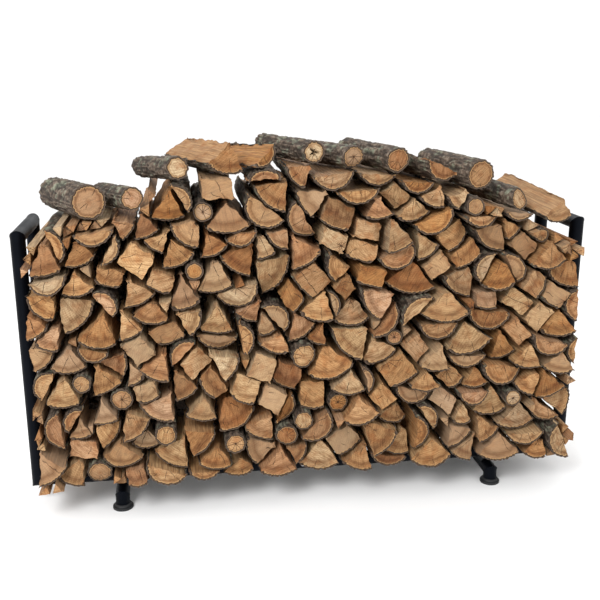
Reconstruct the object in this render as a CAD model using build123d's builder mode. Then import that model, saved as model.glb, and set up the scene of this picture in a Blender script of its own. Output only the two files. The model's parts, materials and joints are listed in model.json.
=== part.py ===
from build123d import *
import math
import os
import random

import numpy as np

# Firewood log rack of welded and bolted round tube, heaped with split logs.
# Millimetres. +Z up, +X along the rack, -Y the front. The origin is on the floor under the rack's middle.

# Rack
RACK_LENGTH = 2438.0
RACK_HEIGHT = 1219.0
UPRIGHT_SPACING = 370.0
TUBE_DIAMETER = 60.3
TUBE_WALL = 2.5

# Splice in the middle of each long rail
SLEEVE_LENGTH = 260.0
SLEEVE_WALL = 3.0
SLEEVE_CLEARANCE = 0.25
SPLICE_BOLT_DIAMETER = 8.0
SPLICE_BOLT_MARGIN = 34.0

# Cross-legs
LEG_SPACING = 1664.0
LEG_TRACK = 530.0
LEG_BELOW_CROSS_TUBE = 4.7
SADDLE_THICKNESS = 4.0
SADDLE_REACH = 13.0
SADDLE_SIDE = 52.0
SADDLE_CORNER = 8.0
LEG_BOLT_DIAMETER = 10.0

# Feet
FOOT_DIAMETER = 88.0
FOOT_RIM = 11.0
FOOT_FLARE = 9.0
FOOT_COLLAR = 3.0
FOOT_WALL = 3.0
FOOT_SOLE = 6.0
FOOT_FIT = 0.1
FOOT_EDGE = 2.0

# Bolts, nuts and washers
HOLE_CLEARANCE = 0.3
WASHER_THICKNESS = 2.0
HEX_WIDTH_PER_DIAMETER = 1.6
HEAD_HEIGHT_PER_DIAMETER = 0.65
NUT_HEIGHT_PER_DIAMETER = 0.8
THREAD_PROUD_PER_DIAMETER = 0.4
WASHER_WIDTH_PER_DIAMETER = 2.2

# Firewood: all logs, how far forward of the rack's middle they lie, and the sizes of each kind of split
LOG_LENGTH = 610.0
TOP_LOG_LENGTH = 450.0
LOG_STAGGER = 30.0
LOG_OVERHANG = 70.0
LOG_CLEARANCE = 0.2
WEDGE_RADIUS = (100.0, 158.0)
WEDGE_ANGLE = (52.0, 96.0)
WEDGE_SHORT_SIDE = (0.86, 1.0)
WEDGE_BARK_FULLNESS = (0.8, 1.0)
WEDGE_BLUNT_EDGE = (14.0, 34.0)
WEDGE_BLUNT_SHARE = 0.45
HALF_ROUND_RADIUS = (64.0, 96.0)
HALF_ROUND_FULLNESS = (0.62, 0.98)
BLOCK_HALF_WIDTH = (46.0, 70.0)
BLOCK_HALF_HEIGHT = (38.0, 58.0)
BLOCK_BARK_RISES = (0.0, 0.0, 7.0, 12.0)
BRANCH_RADIUS = (31.0, 58.0)
ROUND_RADIUS = (46.0, 70.0)
STICK_WIDTH = (34.0, 60.0)
STICK_HEIGHT = (26.0, 50.0)
SPLIT_SLANT = (-9.0, 9.0)

# Firewood: the heap. Its profile gives the top of the stacked logs, as shares of the way from the middle to
# an upright and heights above the top rails
COURSES = 13
TOP_LOGS = 12
TOP_LOGS_SPREAD = 0.84
TOP_YAW_LEFT = 26.0
TOP_YAW_RIGHT = 12.0
TOP_YAW_STRAY = 4.0
STACK_SEED = 27
TOP_SEED = 7
HEAP_PROFILE = (
    (-1.0, -75.0),
    (-0.88, 40.0),
    (-0.63, 80.0),
    (-0.5, 190.0),
    (-0.06, 275.0),
    (0.3, 215.0),
    (0.7, 75.0),
    (1.0, -110.0),
)

# Worked out from the above
TUBE_RADIUS = TUBE_DIAMETER / 2
TUBE_BORE = TUBE_RADIUS - TUBE_WALL
FOOT_TOP = FOOT_RIM + FOOT_FLARE + FOOT_COLLAR
CROSS_Z = FOOT_TOP + LEG_BELOW_CROSS_TUBE + TUBE_RADIUS
RAIL_UNDERSIDE = CROSS_Z + TUBE_RADIUS + SADDLE_THICKNESS
RAIL_Z = RAIL_UNDERSIDE + TUBE_RADIUS
LOAD_FLOOR = RAIL_UNDERSIDE + TUBE_DIAMETER
TOP_RAIL_Z = RACK_HEIGHT - TUBE_RADIUS
UPRIGHT_X = RACK_LENGTH / 2 - TUBE_RADIUS
UPRIGHT_Y = UPRIGHT_SPACING / 2
LEG_X = LEG_SPACING / 2
LEG_Y = LEG_TRACK / 2
BAY_HALF = RACK_LENGTH / 2 - TUBE_DIAMETER
SPLICE_BOLT_PLACES = (SPLICE_BOLT_MARGIN, SLEEVE_LENGTH / 2 - SPLICE_BOLT_MARGIN)
FRONT_REACH = LOG_LENGTH / 2 + LOG_STAGGER + LOG_OVERHANG
REAR_REACH = max(LOG_LENGTH / 2 + LOG_STAGGER - LOG_OVERHANG, LEG_Y + FOOT_DIAMETER / 2)
OVER_ORIGIN = Location((0, (FRONT_REACH - REAR_REACH) / 2, 0))

RIGHTWARD = Vector(1, 0, 0)
REARWARD = Vector(0, 1, 0)
UPWARD = Vector(0, 0, 1)
SQUARE_CUT = Vector(0, 0, 0)
SIDES = {"left": -1, "right": 1}
ROWS = {"front": -1, "rear": 1}

os.makedirs("parts", exist_ok=True)


def write(piece, name):
    """Names a finished piece, or a group of them, and writes it to its own file."""
    piece.label = name
    export_step(piece, f"parts/{name}.step")


def keep(piece, name):
    """Keeps one piece, moved so that the loaded rack's middle is over the origin."""
    write(piece.moved(OVER_ORIGIN), name)


# Tubes


def cut_tube(start, end, start_partner, end_partner, radius, wall, holes=()):
    """Straight tube whose ends are cut half way between its own direction and that of the tube it meets.

    A partner is the direction in which the other tube leaves the corner, or SQUARE_CUT.
    A hole is its mouth plane, which it enters against the plane's normal, with its radius and depth.
    """
    run = end - start
    along = run.normalized()
    spare = 2 * radius
    with BuildPart() as tube:
        with BuildSketch(Plane(origin=start - along * spare, z_dir=along)):
            Circle(radius)
            Circle(radius - wall, mode=Mode.SUBTRACT)
        extrude(amount=run.length + 2 * spare)
        split(bisect_by=Plane(origin=start, z_dir=along - start_partner), keep=Keep.TOP)
        split(bisect_by=Plane(origin=end, z_dir=along + end_partner), keep=Keep.BOTTOM)
        for mouth, hole_radius, depth in holes:
            with Locations(mouth):
                Hole(hole_radius, depth)
    return tube.part


def splice_places(side):
    """Distances along X of the splice bolts on one side of the joint."""
    return [side * place for place in SPLICE_BOLT_PLACES]


def splice_hole(x, y):
    """Hole for a splice bolt, through a rail and its sleeve from front to rear."""
    mouth = Plane(origin=(x, y - TUBE_DIAMETER, RAIL_Z), z_dir=-REARWARD)
    return mouth, SPLICE_BOLT_DIAMETER / 2 + HOLE_CLEARANCE, 2 * TUBE_DIAMETER


def leg_bolt_hole(x, y, top, depth):
    """Hole for a leg bolt, down from the given height."""
    mouth = Plane(origin=(x, y, top), z_dir=UPWARD)
    return mouth, LEG_BOLT_DIAMETER / 2 + HOLE_CLEARANCE, depth


for side_name, side in SIDES.items():
    inward = RIGHTWARD * -side
    for row_name, row in ROWS.items():
        foot_of_upright = Vector(side * UPRIGHT_X, row * UPRIGHT_Y, RAIL_Z)
        head_of_upright = Vector(side * UPRIGHT_X, row * UPRIGHT_Y, TOP_RAIL_Z)
        upright = cut_tube(
            foot_of_upright, head_of_upright, inward, REARWARD * -row, TUBE_RADIUS, TUBE_WALL
        )
        keep(upright, f"{side_name}_{row_name}_upright")

        middle = Vector(0, row * UPRIGHT_Y, RAIL_Z)
        rail_holes = [splice_hole(x, row * UPRIGHT_Y) for x in splice_places(side)]
        rail_holes.append(leg_bolt_hole(side * LEG_X, row * UPRIGHT_Y, RAIL_Z, TUBE_DIAMETER))
        rail = cut_tube(
            foot_of_upright, middle, UPWARD, SQUARE_CUT, TUBE_RADIUS, TUBE_WALL, rail_holes
        )
        keep(rail, f"{row_name}_rail_{side_name}")

        elbow = Vector(side * LEG_X, row * LEG_Y, CROSS_Z)
        leg = cut_tube(
            elbow, Vector(elbow.X, elbow.Y, FOOT_SOLE), REARWARD * -row, SQUARE_CUT, TUBE_RADIUS, TUBE_WALL
        )
        keep(leg, f"{side_name}_{row_name}_leg")

    top_rail = cut_tube(
        Vector(side * UPRIGHT_X, -UPRIGHT_Y, TOP_RAIL_Z),
        Vector(side * UPRIGHT_X, UPRIGHT_Y, TOP_RAIL_Z),
        -UPWARD,
        -UPWARD,
        TUBE_RADIUS,
        TUBE_WALL,
    )
    keep(top_rail, f"{side_name}_top_rail")

    cross_holes = [
        leg_bolt_hole(side * LEG_X, row * UPRIGHT_Y, CROSS_Z + TUBE_DIAMETER, 2 * TUBE_DIAMETER)
        for row in ROWS.values()
    ]
    cross_tube = cut_tube(
        Vector(side * LEG_X, -LEG_Y, CROSS_Z),
        Vector(side * LEG_X, LEG_Y, CROSS_Z),
        -UPWARD,
        -UPWARD,
        TUBE_RADIUS,
        TUBE_WALL,
        cross_holes,
    )
    keep(cross_tube, f"{side_name}_cross_tube")

for row_name, row in ROWS.items():
    sleeve = cut_tube(
        Vector(-SLEEVE_LENGTH / 2, row * UPRIGHT_Y, RAIL_Z),
        Vector(SLEEVE_LENGTH / 2, row * UPRIGHT_Y, RAIL_Z),
        SQUARE_CUT,
        SQUARE_CUT,
        TUBE_BORE - SLEEVE_CLEARANCE,
        SLEEVE_WALL,
        [splice_hole(x, row * UPRIGHT_Y) for side in SIDES.values() for x in splice_places(side)],
    )
    keep(sleeve, f"{row_name}_splice_sleeve")


# Feet


def flared_foot(x, y):
    """Foot that the leg's end stands in: a socket that flares out to a broad rounded rim on the floor."""
    bore = TUBE_RADIUS + FOOT_FIT
    shoulder = bore + FOOT_WALL
    rim = FOOT_DIAMETER / 2
    flare_top = FOOT_RIM + FOOT_FLARE
    with BuildPart() as foot:
        with BuildSketch(Plane(origin=(x, y, 0), x_dir=RIGHTWARD, z_dir=-REARWARD)):
            with BuildLine():
                Polyline((0, 0), (rim, 0), (rim, FOOT_RIM))
                Spline((rim, FOOT_RIM), (shoulder, flare_top), tangents=((-1, 0), (0, 1)))
                Polyline(
                    (shoulder, flare_top),
                    (shoulder, FOOT_TOP),
                    (bore, FOOT_TOP),
                    (bore, FOOT_SOLE),
                    (0, FOOT_SOLE),
                    (0, 0),
                )
            make_face()
        revolve(axis=Axis((x, y, 0), (0, 0, 1)))
        rim_edges = foot.edges().filter_by(GeomType.CIRCLE).sort_by(SortBy.RADIUS)[-2:]
        fillet(rim_edges, radius=FOOT_EDGE)
    return foot.part


for side_name, side in SIDES.items():
    for row_name, row in ROWS.items():
        keep(flared_foot(side * LEG_X, row * LEG_Y), f"{side_name}_{row_name}_foot")


# Saddles between the long rails and the cross tubes

RAIL_CROSSINGS = [(side * LEG_X, row * UPRIGHT_Y) for side in SIDES.values() for row in ROWS.values()]

with BuildPart() as rail_saddles:
    for x, y in RAIL_CROSSINGS:
        with BuildSketch(Plane.XY.offset(RAIL_UNDERSIDE - SADDLE_THICKNESS - SADDLE_REACH)):
            with Locations((x, y)):
                RectangleRounded(SADDLE_SIDE, SADDLE_SIDE, SADDLE_CORNER)
                Circle(LEG_BOLT_DIAMETER / 2 + HOLE_CLEARANCE, mode=Mode.SUBTRACT)
        extrude(amount=SADDLE_THICKNESS + 2 * SADDLE_REACH)
    for x, y in RAIL_CROSSINGS:
        with Locations(Plane(origin=(x, y, RAIL_Z), z_dir=RIGHTWARD)):
            Cylinder(TUBE_RADIUS, 2 * SADDLE_SIDE, mode=Mode.SUBTRACT)
        with Locations(Plane(origin=(x, y, CROSS_Z), z_dir=REARWARD)):
            Cylinder(TUBE_RADIUS, 2 * SADDLE_SIDE, mode=Mode.SUBTRACT)
keep(rail_saddles.part, "rail_saddles")


# Bolts, shaped washers and nuts


def keep_group(pieces, name):
    """Keeps a set of separate like pieces in one file, moved as each piece is."""
    write(Compound(children=[piece.moved(OVER_ORIGIN) for piece in pieces]), name)


def hex_bolt(seat, diameter, length):
    """Hex bolt whose head lies on the seat plane, outside, and whose shank runs back into the work."""
    with BuildPart() as bolt:
        with BuildSketch(seat):
            RegularPolygon(HEX_WIDTH_PER_DIAMETER * diameter / 2, 6, major_radius=False)
        extrude(amount=HEAD_HEIGHT_PER_DIAMETER * diameter)
        with BuildSketch(seat):
            Circle(diameter / 2)
        extrude(amount=-length)
    return bolt.part


def hex_nut(seat, diameter, height):
    """Hex nut on the seat plane."""
    with BuildPart() as nut:
        with BuildSketch(seat):
            RegularPolygon(HEX_WIDTH_PER_DIAMETER * diameter / 2, 6, major_radius=False)
            Circle(diameter / 2, mode=Mode.SUBTRACT)
        extrude(amount=height)
    return nut.part


def shaped_washer(seat, diameter, tube_axis):
    """Washer with a flat face on the seat plane, hollowed underneath to lie on a round tube."""
    half_width = WASHER_WIDTH_PER_DIAMETER * diameter / 2
    edge_depth = WASHER_THICKNESS + TUBE_RADIUS - math.sqrt(TUBE_RADIUS**2 - half_width**2)
    with BuildPart() as washer:
        with BuildSketch(seat):
            Circle(half_width)
            Circle(diameter / 2 + HOLE_CLEARANCE, mode=Mode.SUBTRACT)
        extrude(amount=-edge_depth)
        with Locations(tube_axis):
            Cylinder(TUBE_RADIUS, 4 * half_width, mode=Mode.SUBTRACT)
    return washer.part


def rail_nut(x, y):
    """Nut inside a long rail, shaped underneath to the rail's bore."""
    with BuildPart() as nut:
        with BuildSketch(Plane(origin=(x, y, RAIL_NUT_TOP), x_dir=RIGHTWARD, z_dir=-UPWARD)):
            RegularPolygon(HEX_WIDTH_PER_DIAMETER * LEG_BOLT_DIAMETER / 2, 6, major_radius=False)
            Circle(LEG_BOLT_DIAMETER / 2, mode=Mode.SUBTRACT)
        extrude(amount=RAIL_NUT_HEIGHT + 2 * WASHER_THICKNESS)
        with Locations(Plane(origin=(x, y, RAIL_Z), z_dir=RIGHTWARD)):
            Cylinder(TUBE_BORE, 4 * LEG_BOLT_DIAMETER, mode=Mode.INTERSECT)
    return nut.part


SPLICE_PLACES = [
    (x, row) for row in ROWS.values() for side in SIDES.values() for x in splice_places(side)
]
WASHER_FACE = TUBE_RADIUS + WASHER_THICKNESS
SPLICE_NUT_HEIGHT = NUT_HEIGHT_PER_DIAMETER * SPLICE_BOLT_DIAMETER
SPLICE_SHANK = 2 * WASHER_FACE + SPLICE_NUT_HEIGHT + THREAD_PROUD_PER_DIAMETER * SPLICE_BOLT_DIAMETER
LEG_HEAD_Z = CROSS_Z - WASHER_FACE
RAIL_NUT_HEIGHT = NUT_HEIGHT_PER_DIAMETER * LEG_BOLT_DIAMETER
RAIL_NUT_TOP = RAIL_UNDERSIDE + TUBE_WALL + WASHER_THICKNESS + RAIL_NUT_HEIGHT


def splice_face(x, row, outward):
    """Plane that a splice bolt's head (outward 1) or nut (outward -1) bears on."""
    y = row * (UPRIGHT_Y + outward * WASHER_FACE)
    return Plane(origin=(x, y, RAIL_Z), x_dir=RIGHTWARD, z_dir=REARWARD * (row * outward))


splice_bolts = []
splice_nuts = []
splice_washers = []
for x, row in SPLICE_PLACES:
    rail_axis = Plane(origin=(x, row * UPRIGHT_Y, RAIL_Z), z_dir=RIGHTWARD)
    splice_bolts.append(hex_bolt(splice_face(x, row, 1), SPLICE_BOLT_DIAMETER, SPLICE_SHANK))
    splice_nuts.append(hex_nut(splice_face(x, row, -1), SPLICE_BOLT_DIAMETER, SPLICE_NUT_HEIGHT))
    for outward in (1, -1):
        washer = shaped_washer(splice_face(x, row, outward), SPLICE_BOLT_DIAMETER, rail_axis)
        splice_washers.append(washer)
keep_group(splice_bolts, "splice_bolts")
keep_group(splice_nuts, "splice_nuts")
keep_group(splice_washers, "splice_washers")

leg_bolts = []
leg_washers = []
rail_nuts = []
for x, y in RAIL_CROSSINGS:
    head_seat = Plane(origin=(x, y, LEG_HEAD_Z), x_dir=RIGHTWARD, z_dir=-UPWARD)
    cross_axis = Plane(origin=(x, y, CROSS_Z), z_dir=REARWARD)
    leg_bolts.append(hex_bolt(head_seat, LEG_BOLT_DIAMETER, RAIL_NUT_TOP - LEG_HEAD_Z))
    leg_washers.append(shaped_washer(head_seat, LEG_BOLT_DIAMETER, cross_axis))
    rail_nuts.append(rail_nut(x, y))
keep_group(leg_bolts, "leg_bolts")
keep_group(leg_washers, "leg_washers")
keep_group(rail_nuts, "rail_nuts")


# Firewood: sections of split logs. A corner is (x, z, rise): the edge to the next corner is straight where
# rise is 0, and otherwise an arc of bark that stands out from it by that much. Corners run anticlockwise.


def wedge_section(dice):
    """A wedge split from a round: two split sides that meet near the heart, and bark across the outside."""
    radius = dice.uniform(*WEDGE_RADIUS)
    half_angle = math.radians(dice.uniform(*WEDGE_ANGLE)) / 2
    short_side = dice.uniform(*WEDGE_SHORT_SIDE)
    right_x, right_z = radius * math.sin(half_angle), radius * math.cos(half_angle)
    rise = (radius - right_z) * dice.uniform(*WEDGE_BARK_FULLNESS)
    bark_ends = [(right_x, right_z, rise), (-right_x * short_side, right_z * short_side, 0)]
    if dice.random() < WEDGE_BLUNT_SHARE:
        blunt = dice.uniform(*WEDGE_BLUNT_EDGE)
        return [(-blunt / 2, 0, 0), (blunt / 2, dice.uniform(*SPLIT_SLANT), 0)] + bark_ends
    return [(0, 0, 0)] + bark_ends


def half_section(dice):
    """A half round: one flat split side, and bark over the rest."""
    half_width = dice.uniform(*HALF_ROUND_RADIUS)
    rise = half_width * dice.uniform(*HALF_ROUND_FULLNESS)
    return [(-half_width, 0, 0), (half_width, dice.uniform(*SPLIT_SLANT), rise)]


def block_section(dice):
    """A block split on all sides, with at most a narrow strip of bark."""
    half_width = dice.uniform(*BLOCK_HALF_WIDTH)
    half_height = dice.uniform(*BLOCK_HALF_HEIGHT)
    slants = [dice.uniform(*SPLIT_SLANT) for _ in range(4)]
    return [
        (-half_width + slants[0], -half_height, 0),
        (half_width + slants[1], -half_height + slants[2], 0),
        (half_width + slants[3], half_height, dice.choice(BLOCK_BARK_RISES)),
        (-half_width - slants[1], half_height + slants[0], 0),
    ]


def barked_circle(radius):
    """Three arcs of bark that make a whole circle."""
    turns = np.radians((0, 120, 240))
    return [(radius * math.cos(turn), radius * math.sin(turn), radius / 2) for turn in turns]


def branch_section(dice):
    """A branch left whole, with bark all round."""
    return barked_circle(dice.uniform(*BRANCH_RADIUS))


def round_section(dice):
    """A length of trunk left whole, with bark all round."""
    return barked_circle(dice.uniform(*ROUND_RADIUS))


def stick_section(dice):
    """A thin three-cornered stick, such as fills a gap between logs."""
    width = dice.uniform(*STICK_WIDTH)
    tip = (dice.uniform(*SPLIT_SLANT), dice.uniform(*STICK_HEIGHT), 0)
    return [(-width / 2, 0, 0), (width / 2, dice.uniform(*SPLIT_SLANT), 0), tip]


# How often each kind comes up, in the stack and on top of it
STACKED_KINDS = (
    [wedge_section] * 11 + [half_section] * 4 + [block_section] * 4 + [branch_section] + [stick_section] * 3
)
TOP_KINDS = [wedge_section, half_section, round_section, round_section, block_section]


def outward_middle(start, end, rise):
    """Middle of the edge between two corners, moved outward by the rise of its arc."""
    run = np.subtract(end, start)
    outward = np.array((run[1], -run[0])) / np.hypot(*run)
    return np.add(start, end) / 2 + outward * rise


def corner_pairs(section):
    """Each edge of a section as its start, its end and its rise."""
    for (x, z, rise), (next_x, next_z, _) in zip(section, section[1:] + section[:1]):
        yield np.array((x, z)), np.array((next_x, next_z)), rise


ARC_STEP = math.radians(7)


def room_outline(section):
    """Straight-sided outline just outside a section, with room for the clearance between logs."""
    points = []
    for start, end, rise in corner_pairs(section):
        points.append(start)
        if rise == 0:
            continue
        half_chord = np.hypot(*(end - start)) / 2
        radius = (half_chord**2 + rise**2) / (2 * rise)
        middle = outward_middle(start, end, rise)
        inward = ((start + end) / 2 - middle) / rise
        centre = middle + inward * radius
        sweep = 4 * math.atan2(rise, half_chord)
        steps = math.ceil(sweep / ARC_STEP)
        first = math.atan2(*(start - centre)[::-1])
        for step in range(steps):
            turn = first + sweep * (step + 0.5) / steps
            reach = radius / math.cos(sweep / steps / 2)
            points.append(centre + reach * np.array((math.cos(turn), math.sin(turn))))
    outline = np.array(points)
    run = np.roll(outline, -1, axis=0) - outline
    outward = np.stack((run[:, 1], -run[:, 0]), axis=1) / np.hypot(*run.T)[:, None]
    before = np.roll(outward, 1, axis=0)
    spread = 1 + (before * outward).sum(axis=1)
    return outline + LOG_CLEARANCE * (before + outward) / spread[:, None]


def turned(section, angle):
    """The section turned in its own plane."""
    cosine = math.cos(angle)
    sine = math.sin(angle)
    return [(x * cosine - z * sine, x * sine + z * cosine, rise) for x, z, rise in section]


def centred(section):
    """The section moved so that the middle of its corners and arcs is its origin."""
    middle = room_outline(section).mean(axis=0)
    return [(x - middle[0], z - middle[1], rise) for x, z, rise in section]


# Firewood: stacking. Logs are let down one by one on to those below


class Log:
    """A log: its section, the middle of its length, and how it is turned from straight and level."""

    def __init__(self, section, x, shift=0.0, yaw=0.0, length=LOG_LENGTH):
        self.section = section
        self.length = length
        self.outline = room_outline(section)
        self.x = x
        self.z = 0.0
        self.shift = shift
        self.yaw = yaw
        self.pitch = 0.0
        self.wood = None

    def directions(self):
        """The log's own sideways and upward directions, and the direction of its length, rearward."""
        along = np.array(
            (
                -math.sin(self.yaw) * math.cos(self.pitch),
                math.cos(self.yaw) * math.cos(self.pitch),
                math.sin(self.pitch),
            )
        )
        sideways = np.array((math.cos(self.yaw), math.sin(self.yaw), 0.0))
        return sideways, np.cross(sideways, along), along

    def cut_at(self, y):
        """The outline in which the upright plane at y cuts the log."""
        sideways, upward, along = self.directions()
        points = np.outer(self.outline[:, 0], sideways) + np.outer(self.outline[:, 1], upward)
        travel = (y - self.shift - points[:, 1]) / along[1]
        points = points + np.outer(travel, along)
        return points[:, [0, 2]] + (self.x, self.z)


def edges_below_and_above(outline):
    """The lower and the upper edge of an outline, each as x and z from left to right."""
    left = int(outline[:, 0].argmin())
    right = int(outline[:, 0].argmax())
    count = len(outline)
    lower = [outline[(left + step) % count] for step in range((right - left) % count + 1)]
    upper = [outline[(right + step) % count] for step in range((left - right) % count + 1)]
    return np.array(lower).T, np.array(upper[::-1]).T


def rest_on(outline, others):
    """How far up an outline has to move to lie clear on the others and on the rails."""
    lower, _ = edges_below_and_above(outline)
    lift = LOAD_FLOOR + LOG_CLEARANCE - lower[1].min()
    for other in others:
        _, upper = edges_below_and_above(other)
        first = max(lower[0][0], upper[0][0])
        last = min(lower[0][-1], upper[0][-1])
        if first >= last:
            continue
        corners = np.concatenate((lower[0], upper[0], (first, last)))
        corners = corners[(corners >= first) & (corners <= last)]
        lift = max(lift, (np.interp(corners, *upper) - np.interp(corners, *lower)).max())
    return lift


def heap_top(x):
    """Height that the stacked logs may reach at x."""
    shares, heights = zip(*HEAP_PROFILE)
    return RACK_HEIGHT + np.interp(x / BAY_HALF, shares, heights)


# How finely the stack's skyline is kept, and how hard a place is sought on it
CELL = 6.0
TURNS_TRIED = 28
MISSES_ALLOWED = 20
GAP_WEIGHT = 1.2
STAGGER_SHARES = (-1.0, -0.7, -0.5, -0.2, 0.0, 0.2, 0.5, 0.7, 1.0)
CELL_X = np.arange(-BAY_HALF, BAY_HALF, CELL)
CELL_TOP = heap_top(CELL_X)


def lowest_place(section, skyline):
    """Where a section lies best on the skyline, low and with little space under it: cost, x and section."""
    lower, upper = edges_below_and_above(room_outline(section))
    offsets = np.arange(lower[0][0], lower[0][-1], CELL)
    under = np.interp(offsets, *lower)
    clear = np.lib.stride_tricks.sliding_window_view(skyline, len(offsets)) - under
    lift = clear.max(axis=1)
    gap = lift - clear.mean(axis=1)
    middle = CELL_X[: len(lift)] - lower[0][0]
    fits = middle + lower[0][-1] < BAY_HALF
    fits &= lift + upper[1].max() < np.interp(middle, CELL_X, CELL_TOP)
    if not fits.any():
        return None
    cost = np.where(fits, lift + GAP_WEIGHT * gap, np.inf)
    best = int(cost.argmin())
    return cost[best], middle[best], section


def stacked_heap(dice):
    """Logs that lie straight from front to rear, stacked until no more fit under the heap's top."""
    logs = []
    outlines = []
    skyline = np.full(len(CELL_X), LOAD_FLOOR)
    misses = 0
    while misses < MISSES_ALLOWED:
        section = centred(dice.choice(STACKED_KINDS)(dice))
        tries = [turned(section, dice.uniform(0, 2 * math.pi)) for _ in range(TURNS_TRIED)]
        places = [lowest_place(attempt, skyline) for attempt in tries]
        places = [place for place in places if place]
        if not places:
            misses += 1
            continue
        misses = 0
        _, x, section = min(places, key=lambda place: place[0])
        log = Log(section, x, LOG_STAGGER * dice.choice(STAGGER_SHARES) - LOG_OVERHANG)
        log.z = rest_on(log.cut_at(0), outlines)
        logs.append(log)
        outlines.append(log.cut_at(0))
        _, upper = edges_below_and_above(outlines[-1])
        over = (CELL_X >= upper[0][0]) & (CELL_X <= upper[0][-1])
        skyline[over] = np.maximum(skyline[over], np.interp(CELL_X[over], *upper))
    return logs


# How closely an askew log is looked at where it comes down, and the gap at which it lies
STATIONS = np.linspace(-0.5, 0.5, 11)
CLOSE_STATIONS = 31
TOP_TURNS_TRIED = 7
TOP_REACH = 420.0
REFINEMENTS = 3
LIFT_SPARE = 2.0
LOWERINGS = 40
SEAT_GAP = 0.35
SEAT_TOLERANCE = 0.1


def split_log(log):
    """The solid of one log: its section, straight from end to end."""
    sideways, _, along = log.directions()
    front = np.array((log.x, log.shift, log.z)) - along * log.length / 2
    with BuildPart() as wood:
        with BuildSketch(Plane(origin=tuple(front), x_dir=tuple(sideways), z_dir=tuple(-along))):
            with BuildLine():
                for start, end, rise in corner_pairs(log.section):
                    if rise:
                        ThreePointArc(tuple(start), tuple(outward_middle(start, end, rise)), tuple(end))
                    else:
                        Line(tuple(start), tuple(end))
            make_face()
        extrude(amount=-log.length)
    return wood.part


def settle(log, reach, cuts):
    """Lets an askew log down, and tips it until it lies on something both before and behind its middle.

    The cuts are the outlines of the logs below, in upright planes at the distances in reach from its middle.
    """
    heights = [rest_on(log.cut_at(log.shift + y), cut) for y, cut in zip(reach, cuts)]
    supports = list(zip(reach, heights))
    log.z, slope = max(
        ((front_z * y - z * front_y) / (y - front_y), (z - front_z) / (y - front_y))
        for front_y, front_z in supports
        for y, z in supports
        if front_y < 0 < y
    )
    log.pitch = math.atan(slope * math.cos(log.yaw))


def lift_over(log, other, reach):
    """How far up a log has to move to clear another, found in ever closer planes about where they meet."""
    first = log.shift - reach
    last = log.shift + reach
    for _ in range(REFINEMENTS):
        planes = np.linspace(first, last, CLOSE_STATIONS)
        lifts = [rest_on(log.cut_at(y), [other.cut_at(y)]) for y in planes]
        best = int(np.argmax(lifts))
        first = planes[max(best - 1, 0)]
        last = planes[min(best + 1, CLOSE_STATIONS - 1)]
    return max(lifts)


def let_down(log, below):
    """Lowers a log by the room that is left under it, until it all but touches one of those below."""
    least_room = dict.fromkeys(below, 0.0)
    for _ in range(LOWERINGS):
        log.wood = split_log(log)
        room = math.inf
        for other in sorted(below, key=least_room.get):
            if least_room[other] > room:
                break
            least_room[other] = log.wood.distance_to(other.wood)
            room = min(room, least_room[other])
        if abs(room - SEAT_GAP) < SEAT_TOLERANCE:
            return
        log.z -= room - SEAT_GAP
        least_room = {other: left - room for other, left in least_room.items()}
    log.wood = split_log(log)


def askew_log(dice, x, heap):
    """A log laid low and level on the heap at x, askew, with its rear end to the left."""
    section = centred(dice.choice(TOP_KINDS)(dice))
    yaw = np.interp(x, (-BAY_HALF, BAY_HALF), (TOP_YAW_LEFT, TOP_YAW_RIGHT))
    yaw = math.radians(yaw + dice.uniform(-TOP_YAW_STRAY, TOP_YAW_STRAY))
    shift = (TOP_LOG_LENGTH - LOG_LENGTH) / 2 - LOG_OVERHANG
    reach = STATIONS * TOP_LOG_LENGTH * math.cos(yaw)
    below = [log for log in heap if abs(log.x - x) < TOP_REACH and log.z > heap_top(log.x) - TOP_REACH]
    cuts = [[log.cut_at(shift + y) for log in below] for y in reach]
    tries = []
    for _ in range(TOP_TURNS_TRIED):
        log = Log(turned(section, dice.uniform(0, 2 * math.pi)), x, shift, yaw, TOP_LOG_LENGTH)
        settle(log, reach, cuts)
        tries.append(log)
    log = min(tries, key=lambda log: log.z + TOP_LOG_LENGTH * abs(log.pitch))
    overhang = np.hypot(*log.outline.T).max() * math.sin(yaw)
    log.z += max(lift_over(log, other, reach[-1] + overhang) for other in below) + LIFT_SPARE
    let_down(log, below)
    return log


heap = stacked_heap(random.Random(STACK_SEED))
for log in heap:
    log.wood = split_log(log)
top_logs = []
top_dice = random.Random(TOP_SEED)
for x in np.linspace(-TOP_LOGS_SPREAD, TOP_LOGS_SPREAD, TOP_LOGS) * BAY_HALF:
    top_logs.append(askew_log(top_dice, x, heap + top_logs))

heap.sort(key=lambda log: log.z)
first_of_course = [len(heap) * number // COURSES for number in range(COURSES + 1)]
for number in range(COURSES):
    course = heap[first_of_course[number] : first_of_course[number + 1]]
    keep_group([log.wood for log in course], f"firewood_course_{number + 1:02d}")
keep_group([log.wood for log in top_logs], "top_logs")

print(len(heap), "stacked logs in", COURSES, "courses, and", len(top_logs), "askew on top")
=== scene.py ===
# %% [markdown]
# # A tubular log rack with a full load of split firewood
#
# The rack is a rectangle of round steel tube at each end, joined by two long rails on two cross-legs, all
# powder-coated black. Its shape comes from the CAD model and is only given its finish here. What the eye
# dwells on is the firewood: nearly three hundred split logs. In the CAD model each is a clean prism, so
# here every one is rebuilt with bark, torn grain, a sawn end and a colour of its own.

# %% Load the frame
import json
import math
import random

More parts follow.
